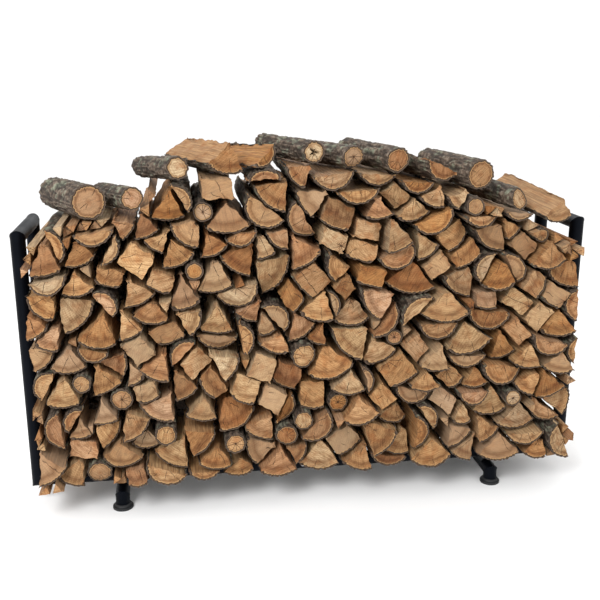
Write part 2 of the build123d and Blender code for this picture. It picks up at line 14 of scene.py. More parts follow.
import bmesh
import bpy
import numpy as np
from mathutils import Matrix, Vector

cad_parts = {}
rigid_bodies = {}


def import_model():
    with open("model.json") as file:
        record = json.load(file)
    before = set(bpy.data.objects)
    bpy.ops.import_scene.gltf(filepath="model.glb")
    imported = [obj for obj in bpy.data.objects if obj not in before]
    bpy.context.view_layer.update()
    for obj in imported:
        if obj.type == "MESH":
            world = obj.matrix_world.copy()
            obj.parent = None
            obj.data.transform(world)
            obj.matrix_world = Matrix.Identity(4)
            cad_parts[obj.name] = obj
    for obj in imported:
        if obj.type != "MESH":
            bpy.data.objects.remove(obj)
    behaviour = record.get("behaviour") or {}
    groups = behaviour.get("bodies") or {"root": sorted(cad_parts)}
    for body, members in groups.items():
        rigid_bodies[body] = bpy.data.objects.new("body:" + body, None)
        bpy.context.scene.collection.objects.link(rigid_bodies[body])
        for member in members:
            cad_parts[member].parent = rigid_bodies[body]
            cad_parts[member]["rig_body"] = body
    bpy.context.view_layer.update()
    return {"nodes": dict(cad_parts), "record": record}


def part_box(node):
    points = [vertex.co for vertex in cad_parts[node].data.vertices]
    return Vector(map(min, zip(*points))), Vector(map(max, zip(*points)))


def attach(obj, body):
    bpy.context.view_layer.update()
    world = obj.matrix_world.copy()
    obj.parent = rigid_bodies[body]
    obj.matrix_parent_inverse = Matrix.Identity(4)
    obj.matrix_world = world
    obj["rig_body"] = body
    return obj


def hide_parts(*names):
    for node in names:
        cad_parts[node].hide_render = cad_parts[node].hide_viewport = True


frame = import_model()
nodes = frame["nodes"]

# %% [markdown]
# ## Small helpers
#
# Colours are picked from the photograph as sRGB hex values, as a painter's swatch would name them, but a
# shader calculates in linear light, so one function converts them. Another adds a node to any tree, shader
# or geometry: it sets the node's own settings, then fills each input with a value or a link. A node given
# as a value stands for its first output.

# %% Helpers
MILLIMETRE = 0.001


def linear(hex_colour):
    """Linear RGBA of an sRGB hex colour such as "#C99B68", by the sRGB standard's formula."""
    channels = [int(hex_colour[place : place + 2], 16) / 255 for place in (1, 3, 5)]
    return [c / 12.92 if c <= 0.04045 else ((c + 0.055) / 1.055) ** 2.4 for c in channels] + [1.0]


def add(tree, kind, inputs=None, **settings):
    """Adds a node to a tree with its settings, and sets or links its inputs."""
    node = tree.nodes.new(kind)
    for name, value in settings.items():
        setattr(node, name, value)
    for socket, value in (inputs or {}).items():
        if isinstance(value, bpy.types.Node):
            value = value.outputs[0]
        if isinstance(value, bpy.types.NodeSocket):
            tree.links.new(value, node.inputs[socket])
        else:
            node.inputs[socket].default_value = value
    return node


def new_material(name):
    """A material with an empty tree, and the tree."""
    material = bpy.data.materials.new(name)
    material.use_nodes = True
    material.node_tree.nodes.clear()
    return material, material.node_tree


def set_stops(ramp_node, stops):
    """Gives a colour ramp its stops, as places and hex colours."""
    ramp = ramp_node.color_ramp
    while len(ramp.elements) < len(stops):
        ramp.elements.new(1.0)
    for element, (place, colour) in zip(ramp.elements, stops):
        element.position = place
        element.color = linear(colour)


print("helpers ready, mid grey is", round(linear("#808080")[0], 3))

# %% [markdown]
# ## Powder-coated steel
#
# The tubes are mild steel with a baked polyester powder coat in satin black. Powder melts and flows out as
# it bakes, but never quite level: it leaves a soft orange-peel that breaks up the highlights. The real peel
# is about 1.5 mm across, too fine to show from here, so it is drawn at twice that. A slow drift in
# roughness stands for handling and dust.

# %% Powder coat
PEEL_SIZE = 3 * MILLIMETRE
HANDLING_SIZE = 140 * MILLIMETRE
COAT_TONES = [(0.3, "#040508"), (0.7, "#0A0C11")]


def satin_powder_coat():
    material, tree = new_material("satin_black_powder_coat")
    place = add(tree, "ShaderNodeTexCoord").outputs["Object"]
    peel = add(tree, "ShaderNodeTexNoise", {"Vector": place, "Scale": 1 / PEEL_SIZE, "Detail": 1.0})
    drift = {"Vector": place, "Scale": 1 / HANDLING_SIZE, "Detail": 4.0}
    handling = add(tree, "ShaderNodeTexNoise", drift)
    colour = add(tree, "ShaderNodeValToRGB", {"Fac": handling})
    set_stops(colour, COAT_TONES)
    roughness = add(
        tree,
        "ShaderNodeMapRange",
        {"Value": handling, "From Min": 0.3, "From Max": 0.7, "To Min": 0.4, "To Max": 0.5},
    )
    bump = add(tree, "ShaderNodeBump", {"Height": peel, "Strength": 0.12, "Distance": PEEL_SIZE})
    shader = add(
        tree,
        "ShaderNodeBsdfPrincipled",
        {
            "Base Color": colour,
            "Roughness": roughness,
            "Specular IOR Level": 0.08,
            "Specular Tint": linear("#C9D6EE"),
            "Normal": bump,
        },
    )
    add(tree, "ShaderNodeOutputMaterial", {"Surface": shader})
    return material


powder_coat = satin_powder_coat()
print("material:", powder_coat.name)

# %% [markdown]
# ## Rubber, nylon, zinc and bare steel
#
# The feet are moulded rubber, matt and slightly grey where dust clings. The saddles between rails and
# cross-tubes are moulded nylon. Bolts, nuts and washers are zinc-plated: a pale metal with a faint mottle
# from the plating bath. The sleeves inside the rails are bare drawn tube, darker and streaked along their
# length. All four are the same small recipe with other numbers, so one function makes them.

# %% Small materials


def mottled(name, dark, light, mottle, roughness, metallic=0.0, bump_strength=0.05, stretch=(1, 1, 1)):
    """A material whose colour drifts between two tones over patches of a real size."""
    material, tree = new_material(name)
    place = add(tree, "ShaderNodeTexCoord").outputs["Object"]
    place = add(tree, "ShaderNodeMapping", {"Vector": place, "Scale": stretch})
    patches = add(tree, "ShaderNodeTexNoise", {"Vector": place, "Scale": 1 / mottle, "Detail": 5.0})
    colour = add(tree, "ShaderNodeValToRGB", {"Fac": patches})
    set_stops(colour, [(0.3, dark), (0.7, light)])
    bump = add(tree, "ShaderNodeBump", {"Height": patches, "Strength": bump_strength, "Distance": mottle})
    shader = add(
        tree,
        "ShaderNodeBsdfPrincipled",
        {"Base Color": colour, "Roughness": roughness, "Metallic": metallic, "Normal": bump},
    )
    add(tree, "ShaderNodeOutputMaterial", {"Surface": shader})
    return material


moulded_rubber = mottled(
    "moulded_rubber", "#0A0B0D", "#141518", mottle=6 * MILLIMETRE, roughness=0.62, bump_strength=0.12
)
moulded_nylon = mottled("moulded_nylon", "#121315", "#1A1B1E", mottle=4 * MILLIMETRE, roughness=0.48)
zinc_plate = mottled(
    "zinc_plated_steel", "#A9ABAE", "#CDCFD0", mottle=3 * MILLIMETRE, roughness=0.32, metallic=1.0
)
drawn_steel = mottled(
    "drawn_steel",
    "#6E6F72",
    "#8D8E90",
    mottle=5 * MILLIMETRE,
    roughness=0.4,
    metallic=1.0,
    stretch=(0.1, 1, 1),
)
print("materials:", [m.name for m in (moulded_rubber, moulded_nylon, zinc_plate, drawn_steel)])

# %% [markdown]
# ## Dress the rack
#
# A CAD part whose shape is right stays as it is and only gets its material. Each part's slot in the record
# says what it is made of, so one table from slot to material dresses the whole rack.

# %% Rack finishes
FINISH_OF_SLOT = {
    "powder_coat": powder_coat,
    "foot_rubber": moulded_rubber,
    "saddle_plastic": moulded_nylon,
    "zinc_hardware": zinc_plate,
    "bare_steel": drawn_steel,
}
slot_of_node = {entry["node"]: entry["material_slot"] for entry in frame["record"]["subparts"]}
rack_nodes = [name for name in sorted(nodes) if slot_of_node[name] in FINISH_OF_SLOT]
for name in rack_nodes:
    nodes[name].data.materials.clear()
    nodes[name].data.materials.append(FINISH_OF_SLOT[slot_of_node[name]])
print("dressed", len(rack_nodes), "rack nodes")

# %% [markdown]
# ## Weld beads at the corners
#
# The tubes are mitred and welded, and the powder coat only softens the bead, so each corner keeps a low
# rippled ring. A ring lies in the mitre's plane, where a round tube's cut is an ellipse. A Geometry Nodes
# tree spaces out small drops along those rings, sunk into the tube so that only their backs show, each
# overlapping the next as the drops of a real bead do.

# %% Weld beads
BEAD_STEP = 3.2 * MILLIMETRE
BEAD_WIDTH = 3.0 * MILLIMETRE
BEAD_SINK = 1.6 * MILLIMETRE
DROP_SEGMENTS = 8
DROP_RINGS = 5
RING_POINTS = 72
STRAIGHT_UP = Vector((0, 0, 1))
STRAIGHT_DOWN = Vector((0, 0, -1))


def middle_of(name):
    """Middle of a CAD node's box."""
    low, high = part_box(name)
    return (Vector(low) + Vector(high)) / 2


def mitre_ring(corner, first_way, second_way, tube_radius):
    """Points of the ellipse in which two tubes meet that leave a corner in the given ways."""
    outer = -(first_way + second_way).normalized()
    across = first_way.cross(second_way).normalized()
    long_radius = tube_radius / first_way.normalized().cross(outer).length
    turns = [2 * math.pi * number / RING_POINTS for number in range(RING_POINTS)]
    return [corner + across * tube_radius * math.cos(t) + outer * long_radius * math.sin(t) for t in turns]


def new_tree(name, inputs):
    """A geometry tree that takes the given inputs and a material, and its input sockets."""
    tree = bpy.data.node_groups.new(name, "GeometryNodeTree")
    for socket, kind in {"Geometry": "Geometry", **inputs, "Material": "Material"}.items():
        tree.interface.new_socket(socket, in_out="INPUT", socket_type=f"NodeSocket{kind}")
    tree.interface.new_socket("Geometry", in_out="OUTPUT", socket_type="NodeSocketGeometry")
    return tree, add(tree, "NodeGroupInput").outputs


def end_tree(tree, given, geometry):
    """Ends a geometry tree in real faces with their material, because the export drops instances."""
    real = add(tree, "GeometryNodeRealizeInstances", {"Geometry": geometry})
    done = add(tree, "GeometryNodeSetMaterial", {"Geometry": real, "Material": given["Material"]})
    add(tree, "NodeGroupOutput", {"Geometry": done})
    return tree


def bead_tree():
    tree, given = new_tree("weld_beads", {"Step": "Float", "Width": "Float"})
    ring = add(tree, "GeometryNodeMeshToCurve", {0: given["Geometry"]})
    places = add(tree, "GeometryNodeResampleCurve", {"Curve": ring, "Length": given["Step"]}, mode="LENGTH")
    drop_shape = {"Segments": DROP_SEGMENTS, "Rings": DROP_RINGS, "Radius": given["Width"]}
    drop = add(tree, "GeometryNodeMeshUVSphere", drop_shape)
    drop = add(tree, "GeometryNodeSetShadeSmooth", {0: drop})
    drops = add(tree, "GeometryNodeInstanceOnPoints", {"Points": places, "Instance": drop})
    return end_tree(tree, given, drops)


def made_by_nodes(base, tree, values):
    """The mesh that a geometry tree makes of an object, with the tree's inputs set by their names."""
    modifier = base.modifiers.new(tree.name, "NODES")
    modifier.node_group = tree
    for item in tree.interface.items_tree:
        if item.in_out == "INPUT" and item.name in values:
            modifier[item.identifier] = values[item.name]
    graph = bpy.context.evaluated_depsgraph_get()
    graph.update()
    mesh = bpy.data.meshes.new_from_object(base.evaluated_get(graph))
    base.modifiers.remove(modifier)
    return mesh


def new_object(name, data):
    """An object at the origin with the given mesh, light or camera."""
    thing = bpy.data.objects.new(name, data)
    bpy.context.scene.collection.objects.link(thing)
    return thing


ring_points = []
ring_edges = []
for side, inward in (("left", Vector((1, 0, 0))), ("right", Vector((-1, 0, 0)))):
    for row, rearward in (("front", Vector((0, 1, 0))), ("rear", Vector((0, -1, 0)))):
        upright = middle_of(f"{side}_{row}_upright")
        leg = middle_of(f"{side}_{row}_leg")
        low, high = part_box(f"{side}_{row}_upright")
        bead_radius = (high[1] - low[1]) / 2 - BEAD_SINK
        for standing, lying, first_way, second_way in (
            (upright, f"{side}_top_rail", STRAIGHT_DOWN, rearward),
            (upright, f"{row}_rail_{side}", STRAIGHT_UP, inward),
            (leg, f"{side}_cross_tube", STRAIGHT_DOWN, rearward),
        ):
            corner = Vector((standing.x, standing.y, middle_of(lying).z))
            start = len(ring_points)
            ring_points += mitre_ring(corner, first_way, second_way, bead_radius)
            ring_edges += [(start + n, start + (n + 1) % RING_POINTS) for n in range(RING_POINTS)]
ring_mesh = bpy.data.meshes.new("weld_rings")
ring_mesh.from_pydata(ring_points, ring_edges, [])
ring_base = new_object("weld_rings", ring_mesh)
bead_values = {"Step": BEAD_STEP, "Width": BEAD_WIDTH, "Material": powder_coat}
beads = made_by_nodes(ring_base, bead_tree(), bead_values)
bpy.data.objects.remove(ring_base)
bead_piece = new_object("weld_beads", beads)
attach(bead_piece, "rack")
print("weld beads:", len(ring_points) // RING_POINTS, "corners,", len(beads.polygons), "faces")

# %% [markdown]
# ## Measure the logs
#
# A course of firewood is one CAD node with many separate logs in it. Each log is a prism, so it can be
# described by a direction, a length and the outline of its end. The node's loose triangles are merged on a
# copy, split into islands, and each island is measured: its shortest long edge gives the direction of the
# grain, and its front end gives the outline.
#
# An outline point where the line bends only a little, between two edges of like length, lies on an arc.
# Arcs are bark and straight edges are split faces, so the outline also tells where the bark is.

# %% Log outlines
FIREWOOD_NODES = sorted(n for n in nodes if n.startswith("firewood_course_")) + ["top_logs"]
MERGE_DISTANCE = 0.01 * MILLIMETRE
LONG_EDGE = 350 * MILLIMETRE
BARK_TURN = math.radians(27)
LIKE_LENGTH = 0.8


def islands(node_object):
    """Points and edges of each separate solid in a CAD node."""
    merged = bmesh.new()
    merged.from_mesh(node_object.data)
    bmesh.ops.remove_doubles(merged, verts=merged.verts, dist=MERGE_DISTANCE)
    unseen = set(merged.verts)
    found = []
    while unseen:
        first = min(unseen, key=lambda vert: vert.index)
        group = [first]
        unseen.discard(first)
        for vert in group:
            for edge in vert.link_edges:
                other = edge.other_vert(vert)
                if other in unseen:
                    unseen.discard(other)
                    group.append(other)
        place = {vert: number for number, vert in enumerate(group)}
        edges = {edge for vert in group for edge in vert.link_edges}
        pairs = np.array(sorted((place[e.verts[0]], place[e.verts[1]]) for e in edges))
        found.append((np.array([vert.co[:] for vert in group]), pairs))
    merged.free()
    return found


def lies_on_arc(outline):
    """Which of an outline's points lie on an arc."""
    after = np.roll(outline, -1, axis=0) - outline
    before = np.roll(after, 1, axis=0)
    size_after = np.hypot(*after.T)
    size_before = np.hypot(*before.T)
    cross = before[:, 0] * after[:, 1] - before[:, 1] * after[:, 0]
    turn = np.arctan2(cross, (before * after).sum(axis=1))
    alike = np.minimum(size_after, size_before) > LIKE_LENGTH * np.maximum(size_after, size_before)
    return (turn < BARK_TURN) & alike


class Log:
    """One log as measured: where its front end is, its three directions, its outline and its bark."""

    def __init__(self, points, edges):
        runs = points[edges[:, 1]] - points[edges[:, 0]]
        lengths = np.linalg.norm(runs, axis=1)
        long_edges = np.where(lengths > LONG_EDGE)[0]
        grain_edge = long_edges[lengths[long_edges].argmin()]
        along = runs[grain_edge] / lengths[grain_edge]
        self.along = along if along[1] > 0 else -along
        self.sideways = np.cross(self.along, STRAIGHT_UP)
        self.sideways /= np.linalg.norm(self.sideways)
        self.upward = np.cross(self.sideways, self.along)
        travel = points @ self.along
        self.length = np.ptp(travel)
        front = points[travel < travel.mean()]
        flat = np.stack((front @ self.sideways, front @ self.upward), axis=1)
        self.hub = flat.mean(axis=0)
        flat = flat - self.hub
        self.outline = flat[np.argsort(np.arctan2(flat[:, 1], flat[:, 0]))]
        self.on_arc = lies_on_arc(self.outline)
        self.front = self.sideways * self.hub[0] + self.upward * self.hub[1] + self.along * travel.min()


logs_of_node = {name: [Log(*island) for island in islands(nodes[name])] for name in FIREWOOD_NODES}
print("logs:", {name: len(logs) for name, logs in logs_of_node.items()})

# %% [markdown]
# ## Points round a log
#
# A log will be a tube of quads, so its outline is needed as points in even steps, with the split corners
# kept. Three things are worked out from it for later: which way is out at each point, how close a corner
# is, since corners chip, and where the pith lies. The pith is the middle of the bark's circle, and the
# growth rings run about it. A log without bark was split from further out, so its pith is drawn at random
# somewhere outside it.

# %% Outline points
OUTLINE_STEP = 6.5 * MILLIMETRE
CORNER_REACH = 20 * MILLIMETRE
LEAST_RIM_POINTS = 4
WIDEST_GIRTH = 4
HEART_DISTANCE = (0.6, 1.5)


def resampled(log):
    """Evenly spaced outline points with the corners kept, and which of them are bark."""
    count = len(log.outline)
    corners = np.where(~log.on_arc)[0]
    starts = corners if len(corners) else np.array([0])
    points = []
    bark = []
    for start, end in zip(starts, np.append(starts[1:], starts[0] + count)):
        path = log.outline[np.arange(start, end + 1) % count]
        reach = np.append(0.0, np.cumsum(np.hypot(*np.diff(path, axis=0).T)))
        steps = max(1, round(reach[-1] / OUTLINE_STEP))
        wanted = np.linspace(0, reach[-1], steps + 1)[:-1]
        points.append(np.stack([np.interp(wanted, reach, path[:, axis]) for axis in (0, 1)], axis=1))
        bark.append(np.full(steps, float(end - start > 1)))
    for number, start_flags in enumerate(bark):
        start_flags[0] = max(start_flags[0], bark[number - 1][-1])
    return np.concatenate(points), np.concatenate(bark)


def mean_radius(outline):
    """How far an outline's points are from its middle, on average."""
    return np.hypot(*outline.T).mean()


def pith_of(outline, bark, dice):
    """Middle of the bark's circle and its radius, or a heart somewhere outside a log without bark."""
    rim = outline[bark > 0.5]
    size = mean_radius(outline)
    if len(rim) >= LEAST_RIM_POINTS:
        matrix = np.column_stack((2 * rim, np.ones(len(rim))))
        answer, *_ = np.linalg.lstsq(matrix, (rim**2).sum(axis=1), rcond=None)
        radius = math.sqrt(max(answer[2] + answer[0] ** 2 + answer[1] ** 2, 0.0))
        if radius < WIDEST_GIRTH * size:
            return answer[:2], radius
    bearing = dice.uniform(0, 2 * math.pi)
    distance = dice.uniform(*HEART_DISTANCE) * size
    return distance * np.array((math.cos(bearing), math.sin(bearing))), distance + 2 * size


def outward_of(outline):
    """Unit vectors that point out of the outline at each of its points."""
    run = np.roll(outline, -1, axis=0) - np.roll(outline, 1, axis=0)
    return np.stack((run[:, 1], -run[:, 0]), axis=1) / np.hypot(*run.T)[:, None]


def nearest(places, points):
    """Distance from each place to the nearest of the points."""
    return np.sqrt(((places[:, None, :] - points[None, :, :]) ** 2).sum(axis=2)).min(axis=1)


def corner_closeness(log, outline):
    """One at the outline's split corners, falling to nothing a chip's width away."""
    corners = log.outline[~log.on_arc]
    if not len(corners):
        return np.zeros(len(outline))
    return np.clip(1 - nearest(outline, corners) / CORNER_REACH, 0, 1)


print("points round the first log on top:", len(resampled(logs_of_node["top_logs"][0])[0]))

# %% [markdown]
# ## Saw cuts and a hollow heart
#
# The outline is repeated at stations along the log. They crowd towards the ends, because in a stack only
# the ends show. Logs on top show their whole length, so theirs are even. A saw cut is never quite square,
# and some logs were cut from two sides, which leaves a steeper facet. The odd round has a rotten,
# star-shaped hollow in its heart. Cuts and hollow are functions of the place on the end that say how deep
# the wood is gone there.

# %% Cuts and hollow
END_STATIONS = np.array((0.0, 4.0, 10.0, 20.0, 36.0, 60.0, 92.0, 140.0)) * MILLIMETRE
MIDDLE_STATIONS = 4
CUT_SLOPE = 0.16
SECOND_CUT_SHARE = 0.45
SECOND_CUT_SLOPE = (0.25, 0.6)
SECOND_CUT_START = (0.45, 0.8)
HOLLOW_DEPTH = 32 * MILLIMETRE
HOLLOW_RADIUS = 9 * MILLIMETRE
HOLLOW_LIP = 1.6
STAR_POINTS = 5
STAR_SWING = 0.45
STAR_LOBES = 3
LOBE_SWING = 0.25


def stations_of(length, even_count):
    """Distances along the log at which its outline is repeated: evenly, or crowded towards the ends."""
    if even_count:
        return np.linspace(0, length, even_count)
    middle = np.linspace(END_STATIONS[-1], length - END_STATIONS[-1], MIDDLE_STATIONS + 2)[1:-1]
    return np.concatenate((END_STATIONS, middle, length - END_STATIONS[::-1]))


def saw_cut(flat, dice):
    """How far in from the end the saw cut lies, as a function of the place on the end."""
    slope = np.array([dice.uniform(-CUT_SLOPE, CUT_SLOPE) for _ in range(2)])
    least = (flat @ slope).min()
    bearing = dice.uniform(0, 2 * math.pi)
    steep = dice.uniform(*SECOND_CUT_SLOPE) * np.array((math.cos(bearing), math.sin(bearing)))
    start = np.quantile(flat @ steep, dice.uniform(*SECOND_CUT_START))
    if dice.random() > SECOND_CUT_SHARE:
        return lambda places: places @ slope - least
    return lambda places: places @ slope - least + np.maximum(places @ steep - start, 0)


def star_hollow(flat, turn):
    """Depth of a star-shaped hollow about the heart."""
    bearing = np.arctan2(flat[..., 1], flat[..., 0])
    star = STAR_SWING * np.cos(STAR_POINTS * bearing + turn)
    reach = HOLLOW_RADIUS * (1 + star + LOBE_SWING * np.cos(STAR_LOBES * bearing))
    return HOLLOW_DEPTH * np.clip(HOLLOW_LIP - np.hypot(flat[..., 0], flat[..., 1]) / reach, 0, 1)


print("stations along a stacked log:", len(stations_of(logs_of_node[FIREWOOD_NODES[0]][0].length, 0)))

# %% [markdown]
# ## Rebuild one log
#
# Rings of points at the stations make the sides, and rings drawn in to a middle point close each end. Wood
# is only ever taken away, so that no log grows into its neighbour: a slight taper, the saw cuts and the
# hollow. A stacked log keeps its full size halfway along, where it bears on its neighbours, so no daylight
# shows between two that touch.
#
# Each point also carries what the finish needs to know: where it is relative to the pith, whether it is
# bark, how far it is from the bark, which way is out, and three random draws that belong to its log.

# %% Log mesh
CAP_INSETS = np.array((4.5, 9.0, 18.0, 32.0)) * MILLIMETRE
WIDEST_INSET = 0.8
HOLLOW_RINGS = np.array((26.0, 20.0, 16.0, 12.0, 8.0, 4.0)) * MILLIMETRE
CUT_BLEND = 110 * MILLIMETRE
TAPER = 0.05
FULL_MIDDLE = 60 * MILLIMETRE
FULL_MIDDLE_BLEND = 110 * MILLIMETRE
FULL_ROUGHNESS_SIZE = 46 * MILLIMETRE
NO_BARK = 1.0


def tube_faces(count, side_rings, cap_rings):
    """Faces round the sides, then across each end, and how many of them are on the sides."""
    around = np.arange(count)
    following = (around + 1) % count
    faces = []
    for low in range(0, (side_rings - 1) * count, count):
        high = low + count
        quad = (low + following, low + around, high + around, high + following)
        faces += np.column_stack(quad).tolist()
    side_faces = len(faces)
    cap_start = side_rings * count
    for outer, order in ((0, 1), ((side_rings - 1) * count, -1)):
        for _ in range(cap_rings):
            quad = [outer + around, outer + following, cap_start + following, cap_start + around]
            faces += np.column_stack(quad[::order]).tolist()
            outer = cap_start
            cap_start += count
        fan = [outer + around, outer + following, np.full(count, cap_start)]
        faces += np.column_stack(fan[::order]).tolist()
        cap_start += 1
    return faces, side_faces


def bark_distance(flat, outline, bark, side_points):
    """How far each point is from the bark, as seen on the log's ends."""
    if not bark.any():
        return np.full(len(flat), NO_BARK)
    count = len(outline)
    on_bark = np.tile(bark > 0.5, side_points // count)
    between_ends = slice(count, side_points - count)
    gap = nearest(flat, outline[bark > 0.5])
    gap[between_ends] = NO_BARK
    gap[:side_points][on_bark] = 0.0
    return gap


def log_mesh(log, dice, even_count=0, hollow=False):
    """Points, faces and attributes of one log."""
    outline, bark = resampled(log)
    count = len(outline)
    pith, girth = pith_of(outline, bark, dice)
    size = mean_radius(outline)
    outward = outward_of(outline) * min(1.0, size / FULL_ROUGHNESS_SIZE) ** 2
    stations = stations_of(log.length, even_count)
    cuts = (saw_cut(outline, dice), saw_cut(outline, dice))
    taper = dice.uniform(-TAPER, TAPER)
    draws = (dice.random(), dice.random(), dice.random())
    shrinks = list(1 - CAP_INSETS[CAP_INSETS < WIDEST_INSET * size] / size)
    if hollow:
        shrinks = shrinks[:2] + list(HOLLOW_RINGS / size)

    # A ring is its points' places, travel along the grain, ways out, facings, the hollow's depth (also its
    # painted shade), and its rim's number
    rings = []
    for number, station in enumerate(stations):
        thin_end_share = 2 * (station if taper > 0 else log.length - station) / log.length - 1
        flat = outline * (1 - abs(taper) * max(0.0, thin_end_share))
        from_middle = abs(station - log.length / 2)
        roughened = np.clip((from_middle - FULL_MIDDLE) / FULL_MIDDLE_BLEND, 0, 1)
        out = outward * (1.0 if even_count else roughened)
        near_front = max(0.0, 1 - station / CUT_BLEND)
        near_back = max(0.0, 1 - (log.length - station) / CUT_BLEND)
        travel = station + near_front * cuts[0](flat) - near_back * cuts[1](flat)
        rings.append((flat, travel, out, np.zeros(count), np.zeros(count), number))
    for rim_ring, direction, cut in ((0, 1, cuts[0]), (len(stations) - 1, -1, cuts[1])):
        for shrink in shrinks + [0.0]:
            flat = rings[rim_ring][0] * shrink if shrink else np.zeros((1, 2))
            hollow_depth_and_shade = star_hollow(flat, draws[2]) if hollow else np.zeros(len(flat))
            travel = stations[rim_ring] + direction * (cut(flat) + hollow_depth_and_shade)
            facing = np.full(len(flat), -float(direction))
            rings.append((flat, travel, (outward * shrink)[: len(flat)], facing, hollow_depth_and_shade, rim_ring))
    flat, travel, out, facing, hollow_depth_and_shade = (np.concatenate(column) for column in list(zip(*rings))[:-1])
    rim_point = np.concatenate([ring[-1] * count + np.arange(len(ring[0])) for ring in rings])

    grain = np.column_stack((flat - pith, travel))
    faces, side_faces = tube_faces(count, len(stations), len(shrinks))
    points = (
        log.front
        + np.outer(flat[:, 0], log.sideways)
        + np.outer(flat[:, 1], log.upward)
        + np.outer(travel, log.along)
    )
    return {
        "points": points,
        "faces": faces,
        "end": np.arange(len(faces)) >= side_faces,
        "grain": grain,
        "edge": grain[rim_point],
        "outward": np.outer(out[:, 0], log.sideways) + np.outer(out[:, 1], log.upward),
        "facing": np.outer(facing, log.along),
        "bark": np.tile(bark, len(stations))[rim_point],
        "corner": np.tile(corner_closeness(log, outline), len(stations))[rim_point],
        "rim": bark_distance(flat, outline, bark, len(stations) * count),
        # Share of the hollow's depth, which the finish paints as near-black shade
        "hollow_depth_and_shade": np.clip(hollow_depth_and_shade / HOLLOW_DEPTH, 0, 1),
        "girth": np.full(len(flat), girth),
        "draws": np.tile(draws, (len(flat), 1)),
    }


print("rings that close an end:", len(CAP_INSETS), "at most, or", len(HOLLOW_RINGS) + 2, "round a hollow")

# %% [markdown]
# ## Roughen the logs with Geometry Nodes
#
# Splitting tears wood along the grain, so a split face is ribbed with long fibres and gently wavy. Bark is
# broken into plates by furrows that run with the grain. Both follow a rule, so one Geometry Nodes tree
# roughens every log: it reads the place relative to the pith, stretches it along the grain, looks up noise,
# and moves each point inward. Split corners lose chips, and a sawn end is left a little uneven. The depth
# of the furrows is kept as an attribute, so that painted shade can darken the bark in them. The tree ends
# in Realize Instances and Set Material. Its inputs are real sizes, listed here in millimetres.

# %% Roughening tree
GRAIN_SIZES = {
    "Furrow Depth": 5.0,
    "Furrow Width": 15.0,
    "Furrow Length": 95.0,
    "Fibre Depth": 3.4,
    "Fibre Width": 9.0,
    "Fibre Length": 240.0,
    "Warp Depth": 11.0,
    "Warp Width": 40.0,
    "Warp Length": 230.0,
    "Chip Depth": 15.0,
    "Chip Width": 26.0,
    "Chip Length": 60.0,
    "Saw Depth": 3.0,
    "Saw Width": 14.0,
}
NOISE_DETAIL = {"Furrow": 2.0, "Fibre": 3.0, "Warp": 1.0, "Chip": 1.0, "Saw": 2.0}
FURROW_SWING = 0.13
NOISE_SPAN = {"Warp": (0.28, 0.72), "Chip": (0.42, 0.66)}
DRAW_SPREAD = 40.0
POINT_VECTORS = ("grain", "edge", "outward", "facing", "draws")
POINT_VALUES = ("bark", "corner", "rim", "hollow_depth_and_shade", "girth")
FACE_VALUES = ("end",)


